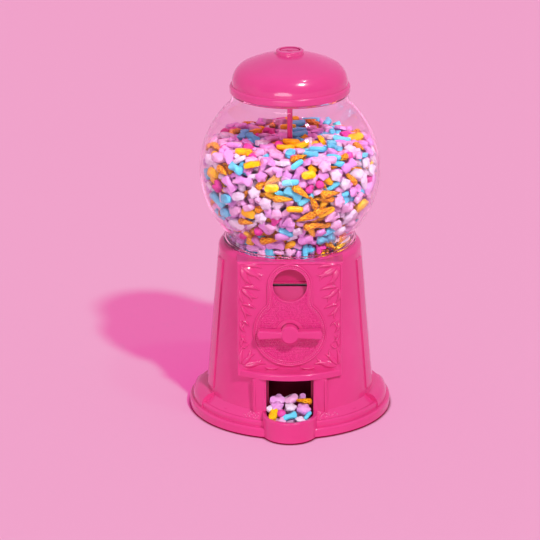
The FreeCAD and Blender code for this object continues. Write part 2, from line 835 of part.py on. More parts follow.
def drive_yoke():
    """Folded strap under the hopper that holds the tie rod's nut and the shaft's back bush."""
    leg_outer = yoke_leg + yoke_thickness
    foot_outer = leg_outer + yoke_foot_length
    foot_bottom = floor_bottom - yoke_thickness
    depth = yoke_half_depth
    bridge = block(-leg_outer, leg_outer, -depth, depth, yoke_bottom, yoke_top)
    solids = []
    for side in (-1, 1):
        leg_sides = sorted((side * yoke_leg, side * leg_outer))
        foot_sides = sorted((side * yoke_leg, side * foot_outer))
        solids.append(block(leg_sides[0], leg_sides[1], -depth, depth, yoke_bottom, floor_bottom))
        solids.append(block(foot_sides[0], foot_sides[1], -depth, depth, foot_bottom, floor_bottom))
    tab_low = handle_level - yoke_tab_half_width
    tab_half = yoke_tab_half_width
    solids.append(block(-tab_half, tab_half, yoke_tab_front, yoke_tab_back, tab_low, yoke_top))
    rod_hole = upright(rod_radius + fit_gap, yoke_bottom - overcut, yoke_top + overcut)
    bush_hole = along_y(bush_radius + running_gap, yoke_tab_front - overcut, yoke_tab_back + edge_tolerance,
                        0, handle_level)
    holes = screw_holes(yoke_screw_seats, UP, yoke_thickness)
    return bridge.fuse(solids).cut([rod_hole, bush_hole] + holes).removeSplitter()


def chute():
    """Closed duct from the drop hole, under the drive, to the tray's mouth."""
    front = -(wall_radius(lip_bottom) - cabinet_wall - jamb_setback)
    floor_front = tray_floor_top + fit_gap
    throat_front = pocket_circle - pocket_radius - chute_wall
    throat_back = pocket_circle + pocket_radius + chute_wall
    floor_back = floor_front + chute_back_rise
    knee = handle_level - carrier_radius / 2 - chute_roof_knee_drop / 2
    roof_front = lip_bottom - fit_gap
    brow = panel_back + fit_gap
    outer = [(front, floor_front), (throat_back, floor_back), (throat_back, floor_bottom),
             (throat_front, floor_bottom), (throat_front, knee), (brow, roof_front), (front, roof_front)]
    slope = math.atan2(floor_back - floor_front, throat_back - front)
    lift = chute_wall / math.cos(slope)
    mouth = front - overcut
    inner_back = throat_back - chute_wall
    inner_front = throat_front + chute_wall
    inner = [(mouth, floor_front + lift - overcut * math.tan(slope)), (inner_back, floor_back + lift),
             (inner_back, floor_bottom + overcut), (inner_front, floor_bottom + overcut),
             (inner_front, knee - chute_wall), (brow, roof_front - chute_wall),
             (mouth, roof_front - chute_wall)]
    duct = extruded_x(outer, chute_outer_half).cut(extruded_x(inner, chute_outer_half - chute_wall))
    ear_outer = chute_outer_half + chute_ear
    ears = block(-ear_outer, ear_outer, pocket_circle - chute_ear / 2, pocket_circle + chute_ear / 2,
                 floor_bottom - chute_wall, floor_bottom)
    inner_half = chute_outer_half - chute_wall
    passage = block(-inner_half, inner_half, inner_front, inner_back,
                    floor_bottom - 2 * chute_wall, floor_bottom + overcut)
    holes = screw_holes(chute_screw_seats, UP, chute_wall)
    return duct.fuse(ears).cut([passage] + holes).removeSplitter()


def tangent_arc(line_radius, ball_radius, bend, side):
    """Arc that eases a vertical line into the globe: line point, point on the arc, point on the ball."""
    centre = (line_radius + bend,
              globe_centre + side * math.sqrt((ball_radius + bend)**2 - (line_radius + bend)**2))
    share = ball_radius / (ball_radius + bend)
    ball_point = (centre[0] * share, globe_centre + (centre[1] - globe_centre) * share)
    line_angle = math.pi
    ball_angle = math.atan2(ball_point[1] - centre[1], ball_point[0] - centre[0])
    if ball_angle < 0:
        ball_angle += 2 * math.pi
    return (line_radius, centre[1]), arc_middle(centre, bend, line_angle, ball_angle), ball_point


def globe():
    """Glass globe: a flange in the seat, a bead over the rim, a neck, the ball and a plain collar."""
    neck_inner = globe_neck_radius - globe_wall
    collar_inner = globe_collar_radius - globe_wall
    ball_inner = globe_radius - globe_wall
    out_low = tangent_arc(globe_neck_radius, globe_radius, globe_neck_round, -1)
    out_high = tangent_arc(globe_collar_radius, globe_radius, globe_collar_round, 1)
    in_low = tangent_arc(neck_inner, ball_inner, globe_neck_round + globe_wall, -1)
    in_high = tangent_arc(collar_inner, ball_inner, globe_collar_round + globe_wall, 1)
    bead_bottom = rim_top + passing_gap
    bead_top = bead_bottom + globe_bead_height
    bead = globe_neck_radius + globe_bead_lip
    bead_side = bead - globe_bead_height / 2
    return turned(outline(
        (neck_inner, globe_bottom),
        (flange_radius, globe_bottom),
        (flange_radius, bead_bottom),
        (bead_side, bead_bottom),
        ((bead, (bead_bottom + bead_top) / 2), (bead_side, bead_top)),
        (globe_neck_radius, bead_top + globe_bead_slope),
        out_low[0],
        (out_low[1], out_low[2]),
        ((globe_radius, globe_centre), out_high[2]),
        (out_high[1], out_high[0]),
        (globe_collar_radius, collar_top),
        (collar_inner, collar_top),
        in_high[0],
        (in_high[1], in_high[2]),
        ((ball_inner, globe_centre), in_low[2]),
        (in_low[1], in_low[0]),
    ))


def globe_gasket():
    """Rubber ring between the ledge and the globe's flange."""
    inner = globe_neck_radius - globe_wall
    return turned(outline(
        (inner, seat_level),
        (flange_radius, seat_level),
        (flange_radius, globe_bottom),
        (inner, globe_bottom),
    ))


def sweet_seats():
    """Centre and outward direction of each lump: a spiral of even spacing down the ball, one over the top.

    The golden angle between one seat and the next keeps the seats apart, without rows.
    """
    golden = math.pi * (3 - math.sqrt(5))
    cell = sweets_pitch**2 * math.sqrt(3) / 2
    seat = globe_radius - globe_wall - fit_gap - sweets_lump_radius
    high = sweets_level - sweets_lump_radius
    low = pinch_level + sweets_lump_radius
    edge = math.sqrt(seat**2 - (high - globe_centre)**2)
    ball_count = int(2 * math.pi * seat * (high - low) / cell)
    seats = []
    for index in range(ball_count):
        level = high - (high - low) * (index + 0.5) / ball_count
        radius = math.sqrt(seat**2 - (level - globe_centre)**2)
        turn = golden * index
        centre = Vector(radius * math.cos(turn), radius * math.sin(turn), level)
        seats.append((centre, centre - Vector(0, 0, globe_centre)))
    inner = edge - sweets_pitch / 2
    top_count = int(math.pi * inner**2 / cell)
    for index in range(1, top_count):
        radius = inner * math.sqrt((index + 0.5) / top_count)
        turn = golden * index
        seats.append((Vector(radius * math.cos(turn), radius * math.sin(turn), high), UP))
    return seats


def candy_fill():
    """Heap of sweets in the globe and the hopper: a core, and a layer of lumps on its ball and its top."""
    neck = globe_neck_radius - globe_wall - fit_gap
    core = globe_radius - globe_wall - fit_gap - sweets_relief
    core_level = sweets_level - sweets_relief
    neck_top = globe_centre - math.sqrt(core**2 - neck**2)
    top_radius = math.sqrt(core**2 - (core_level - globe_centre)**2)
    cone_foot = shield_top + 2 * fit_gap
    rod_clear = rod_radius + fit_gap
    cap_clear = wheel_hub_radius + passing_gap
    cap_top = wheel_top + wheel_cap_rise + passing_gap
    heap = turned(outline(
        (cap_clear, cone_foot),
        (chamber_radius - fit_gap, cone_foot),
        (ledge_radius - fit_gap, ledge_bottom),
        (ledge_radius - fit_gap, seat_level + fit_gap),
        (neck, seat_level + fit_gap),
        (neck, neck_top),
        ((core, globe_centre), (top_radius, core_level)),
        (rod_clear, core_level),
        (rod_clear, cap_top),
        (cap_clear, cap_top),
    ))
    lumps = [Part.makeSphere(sweets_lump_radius, centre, way) for centre, way in sweet_seats()]
    return heap.fuse(lumps)


def tie_rod():
    """Rod from the yoke's nut, up through the globe, to the lid's nut."""
    low = yoke_bottom - nut_height - rod_end_height
    high = lid_apex + fit_gap + lid_nut_height + rod_end_height
    return upright(rod_radius, low, high)


def hexagon(radius, bottom, top):
    """Hexagonal prism about the axis."""
    corners = [Vector(x, y, bottom) for x, y in ring_points(radius, 6, 0.0)]
    return Part.Face(Part.makePolygon(corners + corners[:1])).extrude(Vector(0, 0, top - bottom))


def tie_rod_nut():
    """Nut on the rod's lower end, under the yoke."""
    low = yoke_bottom - nut_height
    bore = upright(rod_radius + running_gap, low - overcut, yoke_bottom + overcut)
    return hexagon(rod_nut_radius, low, yoke_bottom).cut(bore)


def lid_nut():
    """Slotted round nut in the lid's ring, which clamps the lid on the rod."""
    low = lid_apex + fit_gap
    high = low + lid_nut_height
    radius = lid_ring_radius - lid_ring_wall - passing_gap
    nut = upright(radius, low, high)
    nut = nut.makeChamfer(lid_nut_height / 5, edges_where(nut, lambda c: c.z > high - edge_tolerance))
    slot = block(-radius, radius, -rod_radius / 2, rod_radius / 2, high - lid_nut_height / 3, high + overcut)
    return nut.cut([slot, upright(rod_radius + running_gap, low - overcut, high + overcut)])


def dome_arcs(radius, shoulder, spring_line, apex):
    """Shoulder and crown of a domed lid: two arcs that share a tangent."""
    shoulder_centre = (radius - shoulder, spring_line)
    rise = apex - spring_line
    excess = rise - shoulder
    depth = (shoulder_centre[0]**2 - excess**2) / (2 * excess)
    crown = rise + depth
    crown_centre = (0, spring_line - depth)
    angle = math.atan2(depth, shoulder_centre[0])
    join = (shoulder * math.cos(angle) + shoulder_centre[0], shoulder * math.sin(angle) + spring_line)
    shoulder_mid = arc_middle(shoulder_centre, shoulder, 0, angle)
    crown_mid = arc_middle(crown_centre, crown, angle, math.pi / 2)
    return shoulder_mid, join, crown_mid


def lid():
    """Domed lid with a beaded rim, a skirt that centres it in the globe's collar and a ring for its nut."""
    rim = globe_collar_radius + lid_rim_overhang
    dome = rim - lid_rim_step
    rim_top_level = lid_bottom + lid_rim_height
    bead = lid_rim_step
    inset = bead * (1 - math.sqrt(0.5))
    skirt_outer = globe_collar_radius - globe_wall - passing_gap
    skirt_inner = skirt_outer - lid_wall
    shoulder_mid, join, crown_mid = dome_arcs(dome, lid_shoulder_round, lid_spring_line, lid_apex)
    inner_apex = lid_apex - lid_wall
    in_shoulder_mid, in_join, in_crown_mid = dome_arcs(
        skirt_inner, lid_shoulder_round - lid_wall, lid_spring_line, inner_apex)
    shell = turned(outline(
        (skirt_inner, lid_bottom - lid_skirt_depth),
        (skirt_outer, lid_bottom - lid_skirt_depth),
        (skirt_outer, lid_bottom),
        (rim - bead, lid_bottom),
        ((rim - inset, lid_bottom + inset), (rim, lid_bottom + bead)),
        (rim, rim_top_level - bead),
        ((rim - inset, rim_top_level - inset), (dome, rim_top_level)),
        (dome, lid_spring_line),
        (shoulder_mid, join),
        (crown_mid, (0, lid_apex)),
        (0, inner_apex),
        (in_crown_mid, in_join),
        (in_shoulder_mid, (skirt_inner, lid_spring_line)),
    ))
    ring_top = lid_apex + lid_ring_height
    ring = upright(lid_ring_radius, lid_apex - lid_wall, ring_top)
    ring = ring.makeFillet(lid_ring_wall / 3, edges_where(ring, lambda c: c.z > ring_top - edge_tolerance))
    recess = upright(lid_ring_radius - lid_ring_wall, lid_apex, ring_top + overcut)
    rod_hole = upright(rod_radius + fit_gap, inner_apex - overcut, lid_apex + overcut)
    return shell.fuse(ring).cut([recess, rod_hole]).removeSplitter()


def tray_candy():
    """Sweets that lie in the tray, in layers that step back from its front."""
    spacing = 2 * sweet_radius + fit_gap
    row_step = spacing * math.sqrt(3) / 2
    reach = mouth_half_width - sweet_radius - fit_gap
    solids = []
    for layer in range(sweet_layers):
        low = tray_floor_top + fit_gap / 2 + layer * (sweet_thickness + fit_gap / 2)
        for row in range(max(0, layer - 1), sweet_rows):
            y = tray_centre - reach + row * row_step
            odd = (row + layer) % 2
            places = [-spacing / 2, spacing / 2] if odd else [-spacing, 0.0, spacing]
            for x in places:
                overhang = min(0.0, y - tray_centre)
                if math.hypot(x, overhang) <= reach:
                    solids.append(upright(sweet_radius, low, low + sweet_thickness, x, y))
    rounded = []
    for solid in solids:
        rims = [edge for edge in solid.Edges if edge.Closed]
        rounded.append(solid.makeFillet(sweet_thickness / 4, rims))
    return Part.makeCompound(rounded)


def build():
    """Make every piece and write one file for each."""
    pieces = {
        "body_shell": body_shell(),
        "bottom_plate": bottom_plate(),
        "base_screws": screws(base_screw_seats, UP, bottom_plate_thickness),
        "rubber_feet": rubber_feet(),
        "front_plate": front_plate(),
        "panel_screws": screws(panel_screw_seats, BACK * -1, cabinet_wall),
        "shaft_bush": shaft_bush(),
        "coin_slot_upper": coin_slot_upper(),
        "coin_slot_lower": coin_slot_lower(),
        "coin_chute": coin_chute(),
        "coin_chute_screws": screws(coin_screw_seats, BACK * -1, coin_guide_wall),
        "pawl_post": pawl_post(),
        "hopper": hopper(),
        "hopper_screws": screws(hopper_screw_seats, UP, hopper_wall),
        "drop_shield": drop_shield(),
        "drive_yoke": drive_yoke(),
        "yoke_screws": screws(yoke_screw_seats, UP, yoke_thickness),
        "yoke_bush": yoke_bush(),
        "chute": chute(),
        "chute_screws": screws(chute_screw_seats, UP, chute_wall),
        "globe": globe(),
        "globe_gasket": globe_gasket(),
        "tie_rod": tie_rod(),
        "tie_rod_nut": tie_rod_nut(),
        "candy_fill": candy_fill(),
        "tray_candy": tray_candy(),
        "turn_handle": turn_handle(),
        "drive_shaft": drive_shaft(),
        "coin_carrier": coin_carrier(),
        "ratchet_wheel": ratchet_wheel(),
        "shaft_collar": shaft_collar(),
        "drive_pinion": drive_pinion(),
        "dispensing_wheel": dispensing_wheel(),
        "crown_gear": crown_gear(),
        "pawl": pawl(),
        "lid": lid(),
        "lid_nut": lid_nut(),
    }
    os.makedirs("parts", exist_ok=True)
    for name, shape in pieces.items():
        shape.exportStep("parts/" + name + ".step")
        box = shape.BoundBox
        print(f"{name}: {len(shape.Solids)} solids, {shape.Volume / 1000:.2f} cm3, "
              f"valid {shape.isValid()}, z {box.ZMin:.1f} to {box.ZMax:.1f}")


build()
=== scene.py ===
"""Looks of the gumball machine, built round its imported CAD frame.

Lengths are in metres in the frame's axes unless a name ends in _mm: Z is up, the front faces -Y, and
the origin lies on the globe's axis, on the surface that the machine stands on.
"""
import json
import logging
import math
from dataclasses import dataclass
from enum import Enum

import bpy
import numpy as np
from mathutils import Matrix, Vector

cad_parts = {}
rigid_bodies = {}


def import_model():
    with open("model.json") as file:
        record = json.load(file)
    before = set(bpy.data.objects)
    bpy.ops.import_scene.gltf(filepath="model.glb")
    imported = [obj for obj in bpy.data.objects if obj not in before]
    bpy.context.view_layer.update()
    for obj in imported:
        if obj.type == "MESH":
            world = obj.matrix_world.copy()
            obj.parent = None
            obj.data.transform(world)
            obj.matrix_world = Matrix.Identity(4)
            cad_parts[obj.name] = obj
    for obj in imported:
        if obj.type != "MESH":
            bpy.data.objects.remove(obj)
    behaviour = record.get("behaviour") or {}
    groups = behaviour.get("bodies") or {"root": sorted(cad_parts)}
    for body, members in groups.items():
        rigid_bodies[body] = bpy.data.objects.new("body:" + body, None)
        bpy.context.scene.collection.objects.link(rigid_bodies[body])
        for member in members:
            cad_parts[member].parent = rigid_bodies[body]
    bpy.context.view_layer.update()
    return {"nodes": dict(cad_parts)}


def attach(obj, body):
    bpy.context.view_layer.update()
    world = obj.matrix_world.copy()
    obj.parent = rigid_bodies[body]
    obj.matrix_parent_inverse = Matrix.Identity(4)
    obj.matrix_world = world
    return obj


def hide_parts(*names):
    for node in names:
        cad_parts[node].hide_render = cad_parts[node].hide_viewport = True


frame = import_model()

LOG = logging.getLogger("gumball_machine")
MM = 0.001
FULL_TURN = 2 * math.pi
TINY = 1e-6
UP = np.array([0.0, 0.0, 1.0])
NO_TRIS = np.zeros((0, 3), int)
TRIM_SMOOTH = 60.0
SKIN_SMOOTH = 80.0
SWEET_SMOOTH = 75.0
Array = np.ndarray
Colour = tuple[float, float, float]
Place = tuple[float, float, float]


class Slot(Enum):
    """Material slots of the record that new pieces take."""

    PAINT = "pink_paint"
    GLASS = "globe_glass"
    CANDY = "candy"


class Body(Enum):
    """Bodies of the frame that new pieces ride on."""

    CABINET = "cabinet"


def linear(red: int, green: int, blue: int) -> Colour:
    """Turns a display colour into the linear values that a shader takes.

    A share s becomes s / 12.92 where it is low, and ((s + 0.055) / 1.055) to the power 2.4 elsewhere.

    Args:
        red: display value, 0 to 255.
        green: display value, 0 to 255.
        blue: display value, 0 to 255.

    Returns:
        The three linear values, 0 to 1.
    """
    share = np.array([red, green, blue]) / 255.0
    values = np.where(share <= 0.04045, share / 12.92, ((share + 0.055) / 1.055) ** 2.4)
    return tuple(float(value) for value in values)


def unit(vectors: Array) -> Array:
    """The rows of an array, each divided by its length."""
    return vectors / np.linalg.norm(vectors, axis=1, keepdims=True)


def square_to(fixed: Array, other: Array) -> Array:
    """The rows of another array, made square to the unit rows of the first and brought to length 1."""
    return unit(other - np.einsum("ij,ij->i", fixed, other)[:, None] * fixed)


def round_steps(count: int) -> Array:
    """The angles of a full turn in even steps, from 0."""
    return np.arange(count) / count * FULL_TURN


@dataclass
class Surface:
    """A mesh as arrays: points, four-sided and three-sided faces, and a UV pair and tint for each point."""

    points: Array
    quads: Array
    tris: Array
    uv: Array
    tint: Array

    @classmethod
    def of(cls, points: Array, quads: Array, tris: Array = NO_TRIS, uv: Array | None = None) -> "Surface":
        """Makes a surface with an even tint.

        Args:
            points: (n, 3) coordinates.
            quads: (k, 4) point numbers.
            tris: (m, 3) point numbers.
            uv: (n, 2) pattern coordinates, or None for none.

        Returns:
            The surface.
        """
        if uv is None:
            uv = np.zeros((len(points), 2))
        return cls(points, quads.astype(int), tris.astype(int), uv, np.zeros(len(points)))

    def outward(self) -> "Surface":
        """Turns the faces of a closed surface outwards, by the sign of the volume that they enclose.

        Returns:
            The same surface.
        """
        fans = np.concatenate([self.quads[:, [0, 1, 2]], self.quads[:, [0, 2, 3]], self.tris])
        first, second, third = (self.points[fans[:, corner]] for corner in range(3))
        if np.einsum("ij,ij->", first, np.cross(second, third)) < 0:
            self.quads = self.quads[:, ::-1]
            self.tris = self.tris[:, ::-1]
        return self

    def stamped(self, turns: Array, places: Array, tints: Array) -> "Surface":
        """Copies the surface once for each turn and place: p' = turn p + place.

        Args:
            turns: (c, 3, 3) matrices that turn and scale.
            places: (c, 3) where each copy's origin goes.
            tints: (c,) tint of each copy.

        Returns:
            All the copies as one surface.
        """
        count, size = len(places), len(self.points)
        points = np.einsum("cij,pj->cpi", turns, self.points) + places[:, None, :]
        steps = (np.arange(count) * size)[:, None, None]
        return Surface(
            points.reshape(-1, 3),
            (self.quads[None] + steps).reshape(-1, 4),
            (self.tris[None] + steps).reshape(-1, 3),
            np.tile(self.uv, (count, 1)),
            np.repeat(tints, size),
        )


def joined(surfaces: list[Surface]) -> Surface:
    """Puts several surfaces into one, with the point numbers moved on.

    Args:
        surfaces: one or more surfaces.

    Returns:
        One surface with all of their points and faces.
    """
    starts = np.cumsum([0] + [len(surface.points) for surface in surfaces])
    return Surface(
        np.concatenate([surface.points for surface in surfaces]),
        np.concatenate([surface.quads + start for surface, start in zip(surfaces, starts)]),
        np.concatenate([surface.tris + start for surface, start in zip(surfaces, starts)]),
        np.concatenate([surface.uv for surface in surfaces]),
        np.concatenate([surface.tint for surface in surfaces]),
    )


def grid_quads(rows: int, columns: int, wrap_rows: bool, wrap_columns: bool) -> Array:
    """Four-sided faces of a grid of points that is numbered row by row.

    Args:
        rows: number of rows.
        columns: points in a row.
        wrap_rows: whether the last row joins the first.
        wrap_columns: whether a row's last point joins its first.

    Returns:
        (k, 4) point numbers.
    """
    row = np.arange(rows if wrap_rows else rows - 1)[:, None]
    column = np.arange(columns if wrap_columns else columns - 1)[None, :]
    next_row = (row + 1) % rows
    next_column = (column + 1) % columns
    corners = [row * columns + column, row * columns + next_column,
               next_row * columns + next_column, next_row * columns + column]
    shape = (row.size, column.size)
    return np.stack([np.broadcast_to(corner, shape) for corner in corners], -1).reshape(-1, 4)


def ring_loop(rings: Array) -> Surface:
    """Closes a (rows, columns, 3) grid both ways, as a tube that meets itself."""
    rows, columns = rings.shape[:2]
    return Surface.of(rings.reshape(-1, 3), grid_quads(rows, columns, True, True)).outward()


def ring_stack(rings: Array, first: Array, last: Array) -> Surface:
    """Closes a (rows, columns, 3) stack of closed sections with a fan of triangles at each end.

    Args:
        rings: the sections' points.
        first: the point that closes the first section.
        last: the point that closes the last section.

    Returns:
        The closed surface, with UV as the share round the section and the share along the stack.
    """
    rows, columns = rings.shape[:2]
    count = rows * columns
    column = np.arange(columns)
    following = (column + 1) % columns
    first_fan = np.stack([np.full(columns, count), following, column], -1)
    top = (rows - 1) * columns
    last_fan = np.stack([np.full(columns, count + 1), top + column, top + following], -1)
    points = np.concatenate([rings.reshape(-1, 3), first[None], last[None]])
    along = np.repeat(np.linspace(0.1, 0.9, rows), columns)
    around = np.tile(column / columns, rows)
    uv = np.concatenate([np.stack([around, along], -1), [[0.5, 0.0], [0.5, 1.0]]])
    fans = np.concatenate([first_fan, last_fan])
    return Surface.of(points, grid_quads(rows, columns, False, True), fans, uv).outward()


def turned(profile: Array, segments: int) -> Surface:
    """Turns a closed profile about the machine's axis: (r cos a, r sin a, z).

    Args:
        profile: (n, 2) points of radius and level.
        segments: how many steps a turn has.

    Returns:
        The closed surface.
    """
    angle = np.linspace(0.0, FULL_TURN, segments, endpoint=False)[:, None]
    radius, level = profile[None, :, 0], profile[None, :, 1]
    levels = np.broadcast_to(level, (segments, len(profile)))
    return ring_loop(np.stack([radius * np.cos(angle), radius * np.sin(angle), levels], -1))


def arc(centre: tuple[float, float], radius: float, start: float, end: float, steps: int) -> Array:
    """Points along a circular arc in a plane, between two angles: centre + radius (cos a, sin a)."""
    angle = np.linspace(start, end, steps)
    return np.stack([centre[0] + radius * np.cos(angle), centre[1] + radius * np.sin(angle)], -1)


def resampled(path: Array, spacing: float, closed: bool) -> Array:
    """Points at an even spacing along a plane path, by linear interpolation on its length.

    Args:
        path: (n, 2) points.
        spacing: the distance wanted between points.
        closed: whether the path's end joins its start.

    Returns:
        (k, 2) evenly spaced points.
    """
    line = np.concatenate([path, path[:1]]) if closed else path
    length = np.concatenate([[0.0], np.cumsum(np.linalg.norm(np.diff(line, axis=0), axis=1))])
    count = max(3, round(length[-1] / spacing))
    stops = np.linspace(0.0, length[-1], count, endpoint=not closed)
    return np.stack([np.interp(stops, length, line[:, axis]) for axis in (0, 1)], -1)


def side_normals(path: Array, closed: bool) -> Array:
    """Unit normals of a plane path, to the left of its run.

    Args:
        path: (n, 2) points.
        closed: whether the path's end joins its start.

    Returns:
        (n, 2) unit normals.
    """
    if closed:
        run = np.roll(path, -1, axis=0) - np.roll(path, 1, axis=0)
    else:
        run = np.gradient(path, axis=0)
    return unit(np.stack([-run[:, 1], run[:, 0]], -1))


def piece(name: str, surface: Surface, smooth_below: float = 40.0) -> bpy.types.Object:
    """Makes a mesh object at the origin from a surface and links it to the scene.

    Args:
        name: the object's name.
        surface: its points and faces.
        smooth_below: edges that bend by more degrees than this stay sharp.

    Returns:
        The object.
    """
    mesh = bpy.data.meshes.new(name)
    mesh.from_pydata(surface.points.tolist(), [], surface.quads.tolist() + surface.tris.tolist())
    mesh.update()
    corners = np.zeros(len(mesh.loops), int)
    mesh.loops.foreach_get("vertex_index", corners)
    layer = mesh.uv_layers.new(name="pattern")
    layer.data.foreach_set("uv", surface.uv[corners].astype(np.float32).ravel())
    tint = mesh.attributes.new("tint", "FLOAT", "POINT")
    tint.data.foreach_set("value", surface.tint.astype(np.float32))
    mesh.shade_smooth()
    mesh.set_sharp_from_angle(angle=math.radians(smooth_below))
    made = bpy.data.objects.new(name, mesh)
    bpy.context.scene.collection.objects.link(made)
    return made


def fix(made: bpy.types.Object, body: Body, finish: bpy.types.Material,
        stands_for: tuple[str, ...] = ()) -> None:
    """Dresses a piece and ties it to the frame.

    Args:
        made: the piece.
        body: the body that it rides on.
        finish: its material.
        stands_for: the CAD nodes that it replaces.
    """
    made.data.materials.clear()
    made.data.materials.append(finish)
    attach(made, body.value)
    if stands_for:
        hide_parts(*stands_for)
    LOG.info("%s: %d faces on %s", made.name, len(made.data.polygons), body.value)


class Nodes:
    """A node tree, with short calls to place and join nodes."""

    def __init__(self, tree: bpy.types.NodeTree) -> None:
        """Takes the tree."""
        self.tree = tree

    def add(self, kind: str, values: dict | None = None, **settings: object) -> bpy.types.Node:
        """Places a node.

        Args:
            kind: the node's type.
            values: input socket names or numbers, with their values.
            settings: the node's own properties, which are set first.

        Returns:
            The node.
        """
        node = self.tree.nodes.new(kind)
        for name, value in settings.items():
            setattr(node, name, value)
        for socket, value in (values or {}).items():
            node.inputs[socket].default_value = value
        return node

    def join(self, *routes: tuple) -> None:
        """Links sockets: each route names a node and its output, then another node and its input."""
        for source, output, target, entry in routes:
            self.tree.links.new(source.outputs[output], target.inputs[entry])


class Shader(Nodes):
    """A material's node tree, with one Principled shader joined to its output."""

    def __init__(self, name: str) -> None:
        """Starts the material.

        Args:
            name: the material's name.
        """
        self.material = bpy.data.materials.new(name)
        self.material.use_nodes = True
        super().__init__(self.material.node_tree)
        self.tree.nodes.clear()
        self.output = self.add("ShaderNodeOutputMaterial")
        self.surface = self.add("ShaderNodeBsdfPrincipled")
        self.join((self.surface, "BSDF", self.output, "Surface"))

    def give(self, **values: float) -> None:
        """Sets constants of the Principled shader; an underscore stands for a space in a socket's name."""
        for socket, value in values.items():
            self.surface.inputs[socket.replace("_", " ")].default_value = value

    def bump(self, source: bpy.types.Node, output: str, distance: float) -> None:
        """Feeds the shader's normal from a node's output: a height of 1 stands out by the distance."""
        node = self.add("ShaderNodeBump", {"Strength": 1.0, "Distance": distance})
        self.join((source, output, node, "Height"), (node, "Normal", self.surface, "Normal"))


def mottle_group() -> bpy.types.NodeTree:
    """Builds, once, the group that gives a finish its drifting colour, its roughness and its grain.

    A soft cloud noise slides the colour towards the shade and the roughness from smooth to rough, and a
    fine noise gives the grain's height. Both are read on Object coordinates.

    Returns:
        The node group.
    """
    name = "mottle"
    if name in bpy.data.node_groups:
        return bpy.data.node_groups[name]
    tree = bpy.data.node_groups.new(name, "ShaderNodeTree")
    sockets = {
        "INPUT": {"Colour": "Color", "Shade": "Color", "Cloud Scale": "Float", "Grain Scale": "Float",
                  "Smooth": "Float", "Rough": "Float"},
        "OUTPUT": {"Colour": "Color", "Roughness": "Float", "Height": "Float"},
    }
    for way, kinds in sockets.items():
        for socket, kind in kinds.items():
            tree.interface.new_socket(socket, in_out=way, socket_type=f"NodeSocket{kind}")
    nodes = Nodes(tree)
    entry = nodes.add("NodeGroupInput")
    leave = nodes.add("NodeGroupOutput")
    place = nodes.add("ShaderNodeTexCoord")
    cloud = nodes.add("ShaderNodeTexNoise", {"Detail": 3.0, "Roughness": 0.55})
    grain = nodes.add("ShaderNodeTexNoise", {"Detail": 2.0, "Roughness": 0.5})
    cloud_range = {"From Min": 0.32, "From Max": 0.68}
    spread = nodes.add("ShaderNodeMapRange", cloud_range)
    tone = nodes.add("ShaderNodeMix", data_type="RGBA")
    gloss = nodes.add("ShaderNodeMapRange", cloud_range)
    nodes.join(
        (place, "Object", cloud, "Vector"),
        (place, "Object", grain, "Vector"),
        (entry, "Cloud Scale", cloud, "Scale"),
        (entry, "Grain Scale", grain, "Scale"),
        (cloud, "Fac", spread, "Value"),
        (spread, "Result", tone, "Factor"),
        (entry, "Colour", tone, "A"),
        (entry, "Shade", tone, "B"),
        (cloud, "Fac", gloss, "Value"),
        (entry, "Smooth", gloss, "To Min"),
        (entry, "Rough", gloss, "To Max"),
        (tone, "Result", leave, "Colour"),
        (gloss, "Result", leave, "Roughness"),
        (grain, "Fac", leave, "Height"),
    )
    return tree


@dataclass(frozen=True)
class Finish:
    """A solid finish: a colour that drifts to a shade, gloss that drifts with it, and a fine grain."""

    name: str
    colour: Colour
    shade: Colour
    cloud_scale: float = 22.0
    grain_scale: float = 900.0
    smooth: float = 0.15
    rough: float = 0.24
    grain_height: float = 0.00002
    metallic: float = 0.0
    coat: float = 0.0
    coat_roughness: float = 0.05
    gloss: float = 0.5

    def mottled(self, shader: Shader) -> bpy.types.Node:
        """Places the mottle group with this finish's values and feeds the shader from it.

        Args:
            shader: the shader that is fed.

        Returns:
            The group's node.
        """
        group = shader.add("ShaderNodeGroup", node_tree=mottle_group(), values={
            "Colour": (*self.colour, 1.0),
            "Shade": (*self.shade, 1.0),
            "Cloud Scale": self.cloud_scale,
            "Grain Scale": self.grain_scale,
            "Smooth": self.smooth,
            "Rough": self.rough,
        })
        shader.join((group, "Colour", shader.surface, "Base Color"),
                    (group, "Roughness", shader.surface, "Roughness"))
        shader.bump(group, "Height", self.grain_height)
        return group

    def build(self) -> bpy.types.Material:
        """Makes the material, unless it is made already.

        Returns:
            The material.
        """
        if self.name in bpy.data.materials:
            return bpy.data.materials[self.name]
        shader = Shader(self.name)
        shader.give(Metallic=self.metallic, Coat_Weight=self.coat, Coat_Roughness=self.coat_roughness,
                    Specular_IOR_Level=self.gloss)
        self.dress(shader)
        return shader.material

    def dress(self, shader: Shader) -> None:
        """Feeds the shader; other finishes change this."""
        self.mottled(shader)


@dataclass(frozen=True)
class SugarFinish(Finish):
    """Pressed sugar, satin and finely grained: each sweet's own tint moves its colour towards the shade."""

    cloud_scale: float = 190.0
    grain_scale: float = 1500.0
    smooth: float = 0.2
    rough: float = 0.34
    grain_height: float = 0.00008
    gloss: float = 0.3

    def dress(self, shader: Shader) -> None:
        """Mixes the drifting colour with the shade by the tint attribute.

        Args:
            shader: the shader that is fed.
        """
        group = self.mottled(shader)
        tint = shader.add("ShaderNodeAttribute", attribute_name="tint")
        mix = shader.add("ShaderNodeMix", {"B": (*self.shade, 1.0)}, data_type="RGBA")
        shader.join((tint, "Fac", mix, "Factor"), (group, "Colour", mix, "A"),
                    (mix, "Result", shader.surface, "Base Color"))


